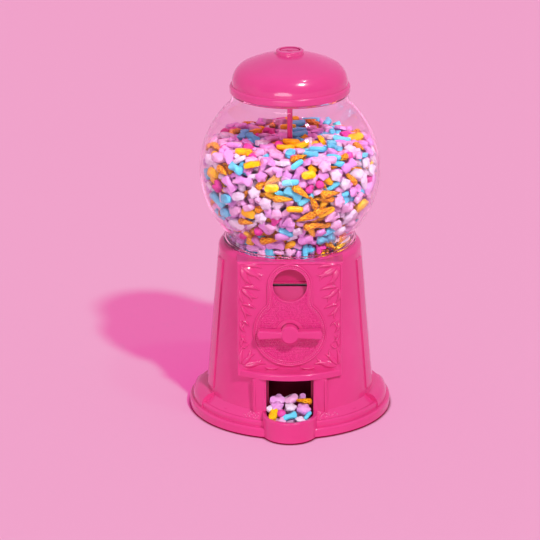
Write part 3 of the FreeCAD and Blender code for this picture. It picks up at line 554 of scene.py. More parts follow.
@dataclass(frozen=True)
class WaffleFinish(SugarFinish):
    """Sugar cones with a waffle of raised lines along two slants, on the sweet's own UV."""

    line_scale: float = 2.0
    line_height: float = 0.0008
    line_slant: float = 38.0

    def dress(self, shader: Shader) -> None:
        """Raises and lightens the lines where either slanted wave is high.

        Args:
            shader: the shader that is fed.
        """
        group = self.mottled(shader)
        place = shader.add("ShaderNodeUVMap", uv_map="pattern")
        lines = shader.add("ShaderNodeMath", operation="MAXIMUM")
        for number, lean in enumerate((1.0, -1.0)):
            turn = lean * math.radians(self.line_slant)
            slant = shader.add("ShaderNodeMapping", {"Rotation": (0.0, 0.0, turn)})
            wave = shader.add("ShaderNodeTexWave", {"Scale": self.line_scale, "Distortion": 0.4})
            shader.join((place, "UV", slant, "Vector"), (slant, "Vector", wave, "Vector"),
                        (wave, "Fac", lines, number))
        mix = shader.add("ShaderNodeMix", {"A": (*self.shade, 1.0)}, data_type="RGBA")
        shader.join((lines, "Value", mix, "Factor"), (group, "Colour", mix, "B"),
                    (mix, "Result", shader.surface, "Base Color"))
        shader.bump(lines, "Value", self.line_height)


@dataclass(frozen=True)
class GlassFinish(Finish):
    """Clear moulded glass with a faint wave in its surface, which lets lamp light through."""

    bend: float = 1.2
    coat_bend: float = 1.6

    def dress(self, shader: Shader) -> None:
        """Makes the shader transmit, and puts Transparent in for rays from lamps.

        Args:
            shader: the shader that is fed.
        """
        self.mottled(shader)
        shader.give(Transmission_Weight=1.0, IOR=self.bend, Coat_IOR=self.coat_bend)
        path = shader.add("ShaderNodeLightPath")
        clear = shader.add("ShaderNodeBsdfTransparent", {"Color": (*self.colour, 1.0)})
        mix = shader.add("ShaderNodeMixShader")
        shader.join((path, "Is Shadow Ray", mix, "Fac"), (shader.surface, "BSDF", mix, 1),
                    (clear, "BSDF", mix, 2), (mix, "Shader", shader.output, "Surface"))


ENAMEL = Finish("pink_enamel", linear(226, 66, 141), linear(220, 58, 133),
                coat=0.8, coat_roughness=0.04, gloss=0.2)
CAST_ENAMEL = Finish("cast_enamel", linear(226, 62, 138), linear(218, 50, 126), grain_scale=520.0,
                     smooth=0.12, rough=0.2, grain_height=0.00022, coat=1.0)
# A paler copy of the pink paint for the lid and its nut: painted light, for the light and reflection on the
# lid's top.
PAINTED_LIGHT_LID_ENAMEL = Finish("painted_light_lid_enamel", linear(227, 74, 148), linear(222, 66, 140),
                    coat=0.8, coat_roughness=0.04)
STIPPLE_ENAMEL = Finish("stippled_enamel", linear(228, 54, 142), linear(206, 30, 114), cloud_scale=720.0,
                        grain_scale=2600.0, smooth=0.14, grain_height=0.00006,
                        coat=0.45, coat_roughness=0.06, gloss=0.2)
# A darker copy of the pink paint for the coin slot's upper plate: painted shade of its recess.
PAINTED_SHADE_ENAMEL = Finish("painted_shade_enamel", linear(196, 28, 102), linear(182, 20, 90), smooth=0.2, rough=0.3,
                     coat=0.3, coat_roughness=0.08)
# A dull copy of the pink paint for the coin slot's lower plate: the dullness is its finish, the darker
# colour is painted shade.
DULL_PAINTED_SHADE_ENAMEL = Finish("dull_painted_shade_enamel", linear(204, 54, 124), linear(196, 46, 114), smooth=0.5, rough=0.6)
# A lighter copy of the pink paint for the beads: the lighter colour is a painted glint; the high gloss is
# their finish.
PAINTED_GLINT_ENAMEL = Finish("painted_glint_enamel", linear(238, 100, 164), linear(230, 80, 150), cloud_scale=60.0,
                     smooth=0.08, rough=0.14, coat=1.0, coat_roughness=0.03)
STEEL = Finish("zinc_steel", linear(176, 178, 182), linear(146, 149, 154), cloud_scale=90.0,
               grain_scale=2600.0, smooth=0.26, rough=0.42, metallic=1.0)
WHITE_PLASTIC = Finish("white_moulding", linear(232, 226, 222), linear(220, 212, 208), cloud_scale=40.0,
                       grain_scale=2200.0, smooth=0.38, rough=0.5, grain_height=0.00003)
DARK_PLASTIC = Finish("dark_moulding", linear(152, 14, 70), linear(126, 8, 56), cloud_scale=40.0,
                      grain_scale=2200.0, smooth=0.42, rough=0.55, grain_height=0.00003)
BRASS = Finish("turned_brass", linear(214, 168, 92), linear(190, 142, 70), cloud_scale=120.0,
               grain_scale=2400.0, smooth=0.22, rough=0.36, metallic=1.0)
RUBBER = Finish("dark_rubber", linear(58, 44, 50), linear(44, 34, 40), cloud_scale=60.0,
                grain_scale=1800.0, smooth=0.62, rough=0.8, grain_height=0.00006)
SILICONE = Finish("pale_silicone", linear(240, 184, 208), linear(232, 168, 196), cloud_scale=60.0,
                  grain_scale=1800.0, smooth=0.5, rough=0.65, grain_height=0.00004)
GLASS = GlassFinish("clear_glass", linear(254, 252, 253), linear(251, 247, 250), cloud_scale=24.0,
                    grain_scale=14.0, smooth=0.0, rough=0.008, grain_height=0.00004,
                    coat=0.2, coat_roughness=0.0)

NODE_FINISHES: dict[Finish, tuple[str, ...]] = {
    ENAMEL: ("body_shell", "front_plate", "turn_handle", "tie_rod"),
    # Painted light on the lid and its nut; painted shade on the coin slot's two plates.
    PAINTED_LIGHT_LID_ENAMEL: ("lid", "lid_nut"),
    PAINTED_SHADE_ENAMEL: ("coin_slot_upper",),
    DULL_PAINTED_SHADE_ENAMEL: ("coin_slot_lower",),
    STEEL: ("base_screws", "panel_screws", "coin_chute_screws", "hopper_screws", "yoke_screws",
            "chute_screws", "tie_rod_nut", "drive_shaft", "ratchet_wheel", "pawl", "pawl_post", "drive_yoke",
            "coin_carrier", "shaft_collar", "bottom_plate", "coin_chute"),
    WHITE_PLASTIC: ("hopper", "drop_shield", "dispensing_wheel", "crown_gear", "drive_pinion"),
    DARK_PLASTIC: ("chute",),
    BRASS: ("shaft_bush", "yoke_bush"),
    RUBBER: ("rubber_feet",),
    SILICONE: ("globe_gasket",),
}


def dress_nodes() -> None:
    """Gives each CAD node that stays its finish."""
    for finish, names in NODE_FINISHES.items():
        for name in names:
            node = frame["nodes"][name]
            node.data.materials.clear()
            node.data.materials.append(finish.build())
        LOG.info("%s on %d CAD nodes", finish.name, len(names))


@dataclass
class CastFace:
    """An upright flat face of a casting that ornament stands out from, towards -Y."""

    face: float = -53.0 * MM
    root: float = 0.35 * MM

    def placed(self, across: Array, rise: Array, level: Array) -> Array:
        """Points over the face, from their x, how far they stand out and their z: (x, face - rise, z)."""
        return np.stack([across, self.face - rise, level], -1)

    def swept(self, path: Array, offset: Array, height: Array, closed: bool) -> Array:
        """Sections along a path: each point lies by its offset to the left of it, at its height."""
        spots = path[:, None] + side_normals(path, closed)[:, None] * offset[..., None]
        return self.placed(spots[..., 0], height, spots[..., 1])

    def ridge(self, path: Array, half: float, rise: float, lift: float = 0.0,
              closed: bool = False) -> Surface:
        """A half-round bar along a path: half (cos a) across it and rise (sin a) out of the face.

        Args:
            path: (n, 2) points in x and z.
            half: half the bar's width.
            rise: its height.
            lift: how far its foot stands out from the face.
            closed: whether the path meets itself; otherwise the bar tapers to its ends.

        Returns:
            The closed surface.
        """
        angle = np.linspace(0.0, math.pi, 7)
        across = half * np.concatenate([np.cos(angle), [-1.0, 1.0]])
        up = np.concatenate([rise * np.sin(angle), [-self.root, -self.root]])
        taper = np.ones(len(path))
        if not closed:
            taper = np.sqrt(np.clip(1.0 - np.linspace(-0.97, 0.97, len(path)) ** 6, 0.0, 1.0))
        height = lift + np.where(up > 0.0, up[None, :] * taper[:, None], up[None, :])
        rings = self.swept(path, across[None, :] * taper[:, None], height, closed)
        if closed:
            return ring_loop(rings)
        ends = self.placed(path[[0, -1], 0], np.full(2, lift), path[[0, -1], 1])
        return ring_stack(rings, ends[0], ends[1])


@dataclass
class FrontPanel(CastFace):
    """Cast ornament of the front panel: leaf sprays, a ridged and beaded keyhole, and its stippled field.

    Ridges are given as inset or offset, half width and height. Each fan of leaves has a foot, and the way
    in degrees and the length of each leaf.
    """

    half_width: float = 39.4 * MM
    low: float = 46.8 * MM
    high: float = 132.4 * MM
    handle_level: float = 77.3 * MM
    window_level: float = 113.9 * MM
    window_radius: float = 12.65 * MM
    lobe_half: float = 16.45 * MM
    disc_radius: float = 27.0 * MM
    collar_radius: float = 10.4 * MM
    field_rise: float = 0.8 * MM
    waist_round: float = 5.0 * MM
    edge_ridges_mm: tuple = ((0.1, 0.7, 0.75), (3.0, 0.5, 0.5))
    edge_step: float = 0.9 * MM
    window_ridge_mm: Place = (0.55, 0.5, 0.45)
    frame_ridge_mm: Place = (1.3, 0.65, 0.6)
    frame_bend: float = 2.0 * MM
    frame_step: float = 1.2 * MM
    leaf_slim: float = 0.125
    leaf_rise: float = 1.35 * MM
    leaf_start: float = 1.6 * MM
    leaf_margin: float = 1.5 * MM
    leaf_span: tuple[float, float] = (0.03, 0.97)
    leaf_widest: float = 0.75
    leaf_fullness: float = 0.8
    crown_highest: float = 0.85
    crown_fullness: float = 0.55
    crest_sharpness: float = 1.3
    leaf_curls: tuple[float, float] = (-0.45, 0.55)
    leaf_trials: tuple[float, ...] = (1.0, 0.9, 0.8, 0.7)
    bead_inset: float = 1.6 * MM
    bead_radius: float = 0.52 * MM
    bead_spacing: float = 1.75 * MM
    stipple_step: float = 0.38 * MM
    stipple_pitch: float = 1.6 * MM
    stipple_rise: float = 0.46 * MM
    dot_sharpness: float = 1.4
    dot_chance: float = 0.1
    dot_foot: float = 0.15
    dot_range: tuple[float, float] = (0.1, 1.2)
    stipple_inset: float = 3.0 * MM
    stipple_gap: float = 0.5 * MM
    stipple_lap: float = 0.6 * MM
    stipple_seed: int = 7
    fans_mm: tuple = (
        ((36.6, 129.6), ((188, 15.0), (203, 17.5), (220, 18.0), (239, 16.0), (257, 14.0))),
        ((37.2, 113.0), ((192, 14.0), (212, 15.0), (234, 14.0), (256, 12.0))),
        ((37.2, 99.5), ((200, 11.0), (226, 12.0), (252, 11.5))),
        ((37.2, 87.5), ((222, 8.0), (250, 10.5))),
        ((37.2, 76.5), ((120, 8.0), (238, 8.0))),
        ((37.2, 63.5), ((112, 10.0), (148, 6.5))),
        ((36.8, 49.4), ((98, 13.5), (117, 14.5), (138, 13.0), (158, 17.0), (175, 18.0))),
        ((20.5, 49.0), ((160, 9.5), (178, 12.0))),
    )

    def keyhole(self, inset: float, spacing: float) -> Array:
        """The keyhole's outline: a lobe round the window, two sides, a hollow waist and a disc.

        Args:
            inset: how far inside the field's edge the outline runs.
            spacing: distance between its points.

        Returns:
            (n, 2) points of the closed outline, in x and z.
        """
        lobe, disc, bend = self.lobe_half - inset, self.disc_radius - inset, self.waist_round + inset
        rise = math.sqrt((disc + bend) ** 2 - (lobe + bend) ** 2)
        waist = self.handle_level + rise
        turn = math.atan2(rise, lobe + bend)
        steps = 60
        path = np.concatenate([
            arc((0.0, self.window_level), lobe, 0.0, math.pi, steps),
            arc((-lobe - bend, waist), bend, 0.0, -turn, steps),
            arc((0.0, self.handle_level), disc, math.pi - turn, FULL_TURN + turn, 3 * steps),
            arc((lobe + bend, waist), bend, math.pi + turn, math.pi, steps),
        ])
        return resampled(path, spacing, True)

    def is_clear(self, spots: Array) -> bool:
        """Whether all of some points lie on the panel outside the keyhole, with a margin.

        Args:
            spots: (n, 2) points in x and z.

        Returns:
            True if all of them do.
        """
        margin = self.leaf_margin
        across, level = np.abs(spots[:, 0]), spots[:, 1]
        inside = across < self.half_width - margin
        inside &= (level > self.low + margin) & (level < self.high - margin)
        off_disc = np.hypot(across, level - self.handle_level) > self.disc_radius + margin
        off_lobe = np.hypot(across, np.maximum(level - self.window_level, 0.0)) > self.lobe_half + margin
        return bool(np.all(inside & off_disc & (off_lobe | (level < self.handle_level))))

    def leaf(self, foot: Array, tip: Array, curl: float) -> Surface:
        """A slim leaf along a bow from foot to tip, with a pointed oval outline and a rounded crest.

        The bow leaves the straight line by curl times s (1 - s) of its length, at the share s along it.

        Args:
            foot: where it starts, in x and z.
            tip: where it ends.
            curl: how far it bows to the left.

        Returns:
            The closed surface.
        """
        share = np.linspace(*self.leaf_span, 14)
        span = tip - foot
        left = np.array([-span[1], span[0]])
        midline = foot + share[:, None] * span + (curl * share * (1.0 - share))[:, None] * left
        swell = np.sin(math.pi * share**self.leaf_widest) ** self.leaf_fullness
        half = self.leaf_slim * np.linalg.norm(span) * swell
        crown = self.leaf_rise * np.sin(math.pi * share**self.crown_highest) ** self.crown_fullness
        angle = np.linspace(0.0, math.pi, 9)
        across = np.concatenate([np.cos(angle), [-1.0, 1.0]])
        dome = np.concatenate([np.sin(angle) ** self.crest_sharpness, [0.0, 0.0]])
        sunk = np.concatenate([np.zeros(len(angle)), [self.root, self.root]])
        height = dome[None, :] * crown[:, None] - sunk[None, :]
        rings = self.swept(midline, across[None, :] * half[:, None], height, False)
        ends = self.placed(np.array([foot[0], tip[0]]), np.zeros(2), np.array([foot[1], tip[1]]))
        return ring_stack(rings, ends[0], ends[1])

    def sprays(self) -> Surface:
        """Leaves in fans down each side of the panel, mirrored, each as long as has room.

        Returns:
            All the leaves.
        """
        shapes = []
        for spot, leaves in self.fans_mm:
            for number, (turn, length) in enumerate(leaves):
                way = np.array([math.cos(math.radians(turn)), math.sin(math.radians(turn))])
                foot = np.array(spot) * MM + self.leaf_start * way
                tips = [foot + way * length * trial * MM for trial in self.leaf_trials]
                clear = [tip for tip in tips if self.is_clear(np.stack([tip, 0.5 * (foot + tip)]))]
                for tip in clear[:1]:
                    for mirror in (1.0, -1.0):
                        flip = np.array([mirror, 1.0])
                        curl = self.leaf_curls[number % 2] * mirror
                        shapes.append(self.leaf(foot * flip, tip * flip, curl))
        return joined(shapes)

    def border(self) -> Surface:
        """The keyhole's edge: an outer and an inner ridge, and a ring round the window.

        Returns:
            The three ridges.
        """
        gap, half, rise = self.window_ridge_mm
        window = arc((0.0, self.window_level), self.window_radius + gap * MM, 0.0, FULL_TURN, 97)
        rings = [self.ridge(self.keyhole(inset * MM, self.edge_step), wide * MM, tall * MM,
                            self.field_rise, True)
                 for inset, wide, tall in self.edge_ridges_mm]
        return joined([*rings, self.ridge(window[:-1], half * MM, rise * MM, self.field_rise, True)])

    def beads(self) -> Surface:
        """A row of beads between the two ridges of the keyhole's edge.

        Returns:
            All the beads.
        """
        row = self.keyhole(self.bead_inset, self.bead_spacing)
        seats = self.placed(row[:, 0], np.full(len(row), self.field_rise), row[:, 1])
        return bead_row(seats, np.array([[0.0, -1.0, 0.0]]), self.bead_radius)

    def frame_bead(self) -> Surface:
        """A half-round bead up both sides of the panel and across its top.

        Returns:
            The bead.
        """
        inset, half, rise = self.frame_ridge_mm
        side = self.half_width - inset * MM
        top = self.high - inset * MM
        bend = self.frame_bend
        path = np.concatenate([
            [[side, self.low + bend]],
            arc((side - bend, top - bend), bend, 0.0, math.pi / 2, 8),
            arc((bend - side, top - bend), bend, math.pi / 2, math.pi, 8),
            [[-side, self.low + bend]],
        ])
        return self.ridge(resampled(path, self.frame_step, False), half * MM, rise * MM)

    def stipple(self) -> Surface:
        """The field's grainy skin: a fine grid of close round dots, cut to the keyhole.

        The dots are the crests that three waves 60 degrees apart have in common, roughened a little. The
        waves' sum runs from -1.5 to 3.

        Returns:
            The open sheet, with its rows running up and its columns across.
        """
        count_x = round(2 * self.disc_radius / self.stipple_step)
        bottom = self.handle_level - self.disc_radius
        count_z = round((self.window_level + self.lobe_half - bottom) / self.stipple_step)
        across = (np.arange(count_x) - (count_x - 1) / 2)[None, :] * self.stipple_step
        level = bottom + np.arange(count_z)[:, None] * self.stipple_step
        number = 4.0 * math.pi / (math.sqrt(3.0) * self.stipple_pitch)
        waves = sum(np.cos(number * (across * math.cos(turn) + level * math.sin(turn)))
                    for turn in np.radians((30.0, 90.0, 150.0)))
        chance = np.random.default_rng(self.stipple_seed).normal(size=waves.shape)
        crest = np.clip((waves + 1.5) / 4.5, 0.0, 1.0) ** self.dot_sharpness + self.dot_chance * chance
        height = self.field_rise + self.stipple_rise * np.clip(self.dot_foot + crest, *self.dot_range)
        shape = height.shape
        grid = self.placed(np.broadcast_to(across, shape), height, np.broadcast_to(level, shape))
        disc = np.hypot(across, level - self.handle_level)
        lobe = np.hypot(across, np.maximum(level - self.window_level, 0.0))
        in_disc = disc < self.disc_radius - self.stipple_inset
        in_lobe = (lobe < self.lobe_half - self.stipple_inset) & (level > self.handle_level)
        off_window = np.hypot(across, level - self.window_level) > self.window_radius + self.stipple_gap
        off_collar = disc > self.collar_radius - self.stipple_lap
        kept = ((in_disc | in_lobe) & off_window & off_collar).ravel()
        quads = grid_quads(count_z, count_x, False, False)
        used, numbers = np.unique(quads[kept[quads].all(axis=1)], return_inverse=True)
        return Surface.of(grid.reshape(-1, 3)[used], numbers.reshape(-1, 4))

    def build(self) -> None:
        """Makes the panel's ornament and fixes it to the cabinet."""
        for name, surface, finish in (
            ("panel_leaves", self.sprays(), CAST_ENAMEL),
            ("panel_frame_bead", self.frame_bead(), ENAMEL),
            ("keyhole_border", self.border(), ENAMEL),
            # The beads' lighter colour is a painted glint.
            ("keyhole_beads", self.beads(), PAINTED_GLINT_ENAMEL),
        ):
            fix(piece(name, surface, TRIM_SMOOTH), Body.CABINET, finish.build())
        field_skin = piece("keyhole_stipple", self.stipple(), SKIN_SMOOTH)
        wall = field_skin.modifiers.new("wall", "SOLIDIFY")
        wall.thickness = self.root
        wall.offset = -1.0
        fix(field_skin, Body.CABINET, STIPPLE_ENAMEL.build())


def bead_row(seats: Array, outs: Array, radius: float) -> Surface:
    """Small round beads, each a dome of two rings with its foot sunk in what carries it.

    Args:
        seats: (n, 3) where the beads sit.
        outs: (n, 3) or (1, 3) unit directions that they stand out in.
        radius: a bead's radius.

    Returns:
        All the beads.
    """
    foot, shoulder_out, shoulder_up, crown = 0.5, 0.72, 0.62, 0.9
    turn = round_steps(8)
    flat = np.stack([np.cos(turn), np.sin(turn), np.zeros(len(turn))], -1)
    rings = np.stack([flat - foot * UP, flat, shoulder_out * flat + shoulder_up * UP])
    dome = ring_stack(rings * radius, -foot * radius * UP, crown * radius * UP)
    out = np.broadcast_to(outs, seats.shape)
    helper = np.where(np.abs(out[:, 2:]) > 0.9, [[1.0, 0.0, 0.0]], [UP])
    side = unit(np.cross(helper, out))
    return dome.stamped(np.stack([side, np.cross(out, side), out], -1), seats, np.zeros(len(seats)))


@dataclass
class CastTrim:
    """Small cast details: ridges on the jambs, and bead clusters on the base beside the tray.

    A jamb's bar is given as place, half width and height, and a bead row as radius, first and last angle in
    degrees, and count.
    """

    jamb_face: float = -60.35 * MM
    jamb_low: float = 13.5 * MM
    jamb_high: float = 41.4 * MM
    jamb_step: float = 1.0 * MM
    jamb_bars_mm: tuple = ((26.6, 0.9, 0.75), (18.5, 0.5, 0.4))
    bead_radius: float = 0.8 * MM
    cone_foot: tuple[float, float] = (71.0 * MM, 12.1 * MM)
    cone_slope: float = 0.617
    bead_drift: float = 0.7 * MM
    bead_swing: float = 0.6
    bead_seed: int = 3
    bead_rows_mm: tuple = (
        (69.6, 18.5, 31.0, 8),
        (67.9, 20.0, 29.0, 6),
        (66.4, 19.0, 26.0, 4),
    )

    def bars(self) -> Surface:
        """Upright half-round bars on both jambs, near their outer and their inner edges.

        Returns:
            The four bars.
        """
        cast = CastFace(self.jamb_face)
        made = []
        for across, half, rise in self.jamb_bars_mm:
            for side in (1.0, -1.0):
                path = np.array([[side * across * MM, self.jamb_low], [side * across * MM, self.jamb_high]])
                made.append(cast.ridge(resampled(path, self.jamb_step, False), half * MM, rise * MM))
        return joined(made)

    def beads(self) -> Surface:
        """Scattered beads on the base's cone, on each side of the tray.

        Each lies off its row by a chance drift, at the level foot + slope times (foot's radius - its own).

        Returns:
            All the beads.
        """
        made = []
        chance = np.random.default_rng(self.bead_seed)
        foot_radius, foot_level = self.cone_foot
        out, up = np.array([self.cone_slope, 1.0]) / math.hypot(self.cone_slope, 1.0)
        for side in (1.0, -1.0):
            for row, start, end, count in self.bead_rows_mm:
                drift = chance.normal(size=(2, count))
                turn = np.radians(np.linspace(start, end, count) + self.bead_swing * drift[0])
                radius = np.minimum(row * MM + self.bead_drift * drift[1], foot_radius)
                level = foot_level + self.cone_slope * (foot_radius - radius)
                way = np.stack([side * np.sin(turn), -np.cos(turn)], -1)
                outs = np.concatenate([way * out, np.full((count, 1), up)], 1)
                seats = np.concatenate([way * radius[:, None], level[:, None]], 1)
                made.append(bead_row(seats, outs, self.bead_radius))
        return joined(made)

    def build(self) -> None:
        """Makes the trim and fixes it to the cabinet."""
        fix(piece("jamb_bars", self.bars(), TRIM_SMOOTH), Body.CABINET, ENAMEL.build())
        # The beads' lighter colour is a painted glint.
        fix(piece("base_beads", self.beads(), TRIM_SMOOTH), Body.CABINET, PAINTED_GLINT_ENAMEL.build())


@dataclass
class GlobeGlass:
    """The glass globe: one closed wall with a flange, a bead over the rim, a neck, a ball and a collar."""

    wall: float = 1.6 * MM
    foot: float = 130.7 * MM
    flange_radius: float = 48.4 * MM
    bead_radius: float = 50.6 * MM
    bead_level: float = 135.2 * MM
    bead_half: float = 1.7 * MM
    bead_slope: float = 1.6 * MM
    bead_hollow: float = 0.7
    neck_radius: float = 47.6 * MM
    neck_bend: float = 3.0 * MM
    ball_radius: float = 68.0 * MM
    ball_level: float = 189.14 * MM
    collar_radius: float = 43.9 * MM
    collar_bend: float = 8.0 * MM
    collar_top: float = 247.97 * MM
    segments: int = 192

    def skin(self, depth: float) -> Array:
        """One side of the wall from the neck to the collar, upwards: a bend, the ball's arc, and a bend.

        Each bend is the arc that touches the upright wall and the ball; its centre lies at the upright's
        radius plus the bend, and at the ball's radius plus the bend from the ball's centre.

        Args:
            depth: how far inside the outer face this side lies.

        Returns:
            (k, 2) points of radius and level.
        """
        turns, bends = [], []
        low, high = (self.neck_radius, self.neck_bend, -1), (self.collar_radius, self.collar_bend, 1)
        for upright, bend, side in (low, high):
            reach = upright + bend
            rise = side * math.sqrt((self.ball_radius + bend) ** 2 - reach**2)
            turn = math.atan2(rise, reach)
            turns.append(turn)
            bends.append(arc((reach, self.ball_level + rise), bend + depth, math.pi, math.pi + turn, 12))
        middle = arc((0.0, self.ball_level), self.ball_radius - depth, turns[0], turns[1], 84)
        return np.concatenate([bends[0], middle[1:-1], bends[1][::-1]])

    def build(self) -> None:
        """Turns the wall about the axis and puts it in the place of the CAD globe."""
        half = self.bead_half
        bead = arc((self.bead_radius - half, self.bead_level), half, -math.pi / 2, math.pi / 2, 9)
        outside = [(self.flange_radius, self.foot), (self.flange_radius, self.bead_level - half), *bead,
                   (self.neck_radius, self.bead_level + half + self.bead_slope)]
        top = [(self.collar_radius, self.collar_top), (self.collar_radius - self.wall, self.collar_top)]
        hollow = np.array(outside) - (self.wall, 0.0)
        hollow[1:-1, 1] = self.bead_level + self.bead_hollow * (hollow[1:-1, 1] - self.bead_level)
        profile = np.concatenate([outside, self.skin(0.0), top, self.skin(self.wall)[::-1], hollow[::-1]])
        fix(piece("globe_glass", turned(profile, self.segments)), Body.CABINET, GLASS.build(),
            ("globe",))


class Form(Enum):
    """Shapes that the sweets are pressed in."""

    LUMP = "lump"
    FLOWER = "flower"
    BOW = "bow"
    HEART = "heart"
    CLOUD = "cloud"
    CONE = "cone"
    ROD = "rod"
    BALL = "ball"


HALF_SIZES_MM: dict[Form, Place] = {
    Form.LUMP: (5.8, 3.4, 2.5),
    Form.FLOWER: (5.0, 4.6, 2.3),
    Form.BOW: (6.7, 3.6, 2.4),
    Form.HEART: (4.8, 4.5, 2.4),
    Form.CLOUD: (6.2, 4.0, 2.4),
    Form.CONE: (7.8, 3.0, 2.6),
    Form.ROD: (6.6, 2.4, 2.3),
    Form.BALL: (3.5, 3.5, 3.5),
}
ROUND_STOPS: dict[Form, tuple] = {
    Form.CONE: (8, ((-0.95, 0.16), (-0.35, 0.56), (0.25, 0.86), (0.72, 1.0), (0.94, 0.72))),
    Form.ROD: (8, ((-0.9, 0.72), (-0.66, 1.0), (0.66, 1.0), (0.9, 0.72))),
    Form.BALL: (9, ((-0.81, 0.59), (-0.31, 0.95), (0.31, 0.95), (0.81, 0.59))),
}
OUTLINE_COUNTS: dict[Form, int] = {Form.FLOWER: 20, Form.CLOUD: 16}
SHOULDERS: dict[Form, float] = {Form.LUMP: 0.62, Form.FLOWER: 0.55}


def round_sweet(form: Form) -> Surface:
    """A round sweet along its own X axis: rings of (x, r cos a, r sin a) at its stops.

    Args:
        form: which shape.

    Returns:
        The closed surface, with UV round it and along it.
    """
    around, stops = ROUND_STOPS[form]
    angle = round_steps(around)
    along, radius = np.array(stops).T
    rings = np.stack([np.broadcast_to(along[:, None], (len(stops), around)),
                      radius[:, None] * np.cos(angle), radius[:, None] * np.sin(angle)], -1)
    return ring_stack(rings, np.array([-1.0, 0.0, 0.0]), np.array([1.0, 0.0, 0.0]))


def sweet_outline(form: Form) -> Array:
    """The outline of a pressed sweet, within about 1 of its centre.

    The outlines are: a flower and a cloud, whose radius swells five and four times in a turn; a bow, whose
    width narrows in the middle; a heart by sines of one, two, three and four times the angle; and a rounded
    oblong, (cos a, sin a) with each term drawn towards 1.

    Args:
        form: which shape.

    Returns:
        (k, 2) points round the sweet.
    """
    angle = round_steps(OUTLINE_COUNTS.get(form, 14))
    across, along = np.sin(angle), np.cos(angle)
    if form is Form.FLOWER:
        swell = 0.89 + 0.11 * np.cos(5 * angle)
        return np.stack([swell * along, swell * across], -1)
    if form is Form.CLOUD:
        swell = 0.86 + 0.14 * np.cos(4 * angle)
        return np.stack([swell * along, swell * across], -1)
    if form is Form.BOW:
        return np.stack([along, across * (0.34 + 0.9 * along**2) / 0.6], -1)
    if form is Form.HEART:
        lobes = 13 * along - 5 * np.cos(2 * angle) - 2 * np.cos(3 * angle) - np.cos(4 * angle)
        return np.stack([(lobes + 2.5) / 15, across**3], -1)
    return np.stack([np.sign(term) * np.abs(term) ** 0.75 for term in (along, across)], -1)


def sweet_form(form: Form) -> Surface:
    """One sweet of unit half sizes: X along it, Y across it and Z through it.

    A pressed sweet has its outline at two levels and is closed by low domes.

    Args:
        form: which shape.

    Returns:
        The closed surface.
    """
    if form in ROUND_STOPS:
        return round_sweet(form)
    outline = sweet_outline(form)
    shoulder = SHOULDERS.get(form, 0.6)
    rings = np.stack([np.insert(outline, 2, level, axis=1) for level in (-shoulder, shoulder)])
    return ring_stack(rings, -UP, UP)


@dataclass(frozen=True)
class SweetKind:
    """Sweets of one colour: their finish, their share of the heap and the shapes that they come in."""

    finish: SugarFinish
    share: float
    forms: tuple[Form, ...]


LILAC = SweetKind(SugarFinish("lilac_sugar", linear(226, 170, 222), linear(210, 138, 208)), 0.26,
                  (Form.LUMP, Form.FLOWER, Form.BOW, Form.HEART))
ROSE = SweetKind(SugarFinish("rose_sugar", linear(226, 186, 218), linear(220, 158, 204)), 0.2,
                 (Form.LUMP, Form.FLOWER, Form.HEART))
ORANGE = SweetKind(WaffleFinish("orange_waffle", linear(255, 196, 30), linear(226, 132, 6)), 0.15,
                   (Form.CONE,))
CYAN = SweetKind(SugarFinish("cyan_sugar", linear(112, 218, 238), linear(84, 196, 226)), 0.13,
                 (Form.BOW, Form.ROD, Form.LUMP))
WHITE = SweetKind(SugarFinish("white_sugar", linear(226, 218, 232), linear(220, 200, 222)), 0.13,
                  (Form.CLOUD, Form.FLOWER, Form.LUMP))
YELLOW = SweetKind(SugarFinish("yellow_sugar", linear(250, 204, 12), linear(238, 176, 2)), 0.08,
                   (Form.LUMP, Form.ROD))
MAGENTA = SweetKind(SugarFinish("magenta_sugar", linear(230, 92, 180), linear(206, 46, 138)), 0.07,
                    (Form.BALL, Form.HEART))
SWEET_KINDS = (LILAC, ROSE, ORANGE, CYAN, WHITE, YELLOW, MAGENTA)


@dataclass
class SweetBatch:
    """Many sweets as arrays: place, unit long axis, unit facing, half sizes, form, kind and tint of each."""

    places: Array
    axes: Array
    facing: Array
    sizes: Array
    forms: list[Form]
    kinds: list[SweetKind]
    tints: Array

    def surfaces(self) -> dict[SweetKind, Surface]:
        """One surface for each kind, with every sweet stamped from its form.

        Returns:
            The surfaces, for the kinds that are there.
        """
        turns = np.stack([self.axes, np.cross(self.facing, self.axes), self.facing], -1)
        turns *= self.sizes[:, None, :]
        made = {}
        for kind in SWEET_KINDS:
            parts = []
            for form in kind.forms:
                chosen = [n for n, pair in enumerate(zip(self.kinds, self.forms)) if pair == (kind, form)]
                if chosen:
                    parts.append(sweet_form(form).stamped(turns[chosen], self.places[chosen],
                                                          self.tints[chosen]))
            if parts:
                made[kind] = joined(parts)
        return made


def fix_sweets(where: str, surfaces: dict[SweetKind, Surface], stands_for: str) -> None:
    """Makes one piece for each colour of sweets and puts them in the place of a CAD node.

    Args:
        where: the first word of the pieces' names.
        surfaces: the sweets of each kind.
        stands_for: the CAD node.
    """
    for kind, surface in surfaces.items():
        fix(piece(f"{where}_{kind.finish.name}", surface, SWEET_SMOOTH), Body.CABINET,
            kind.finish.build(), (stands_for,))


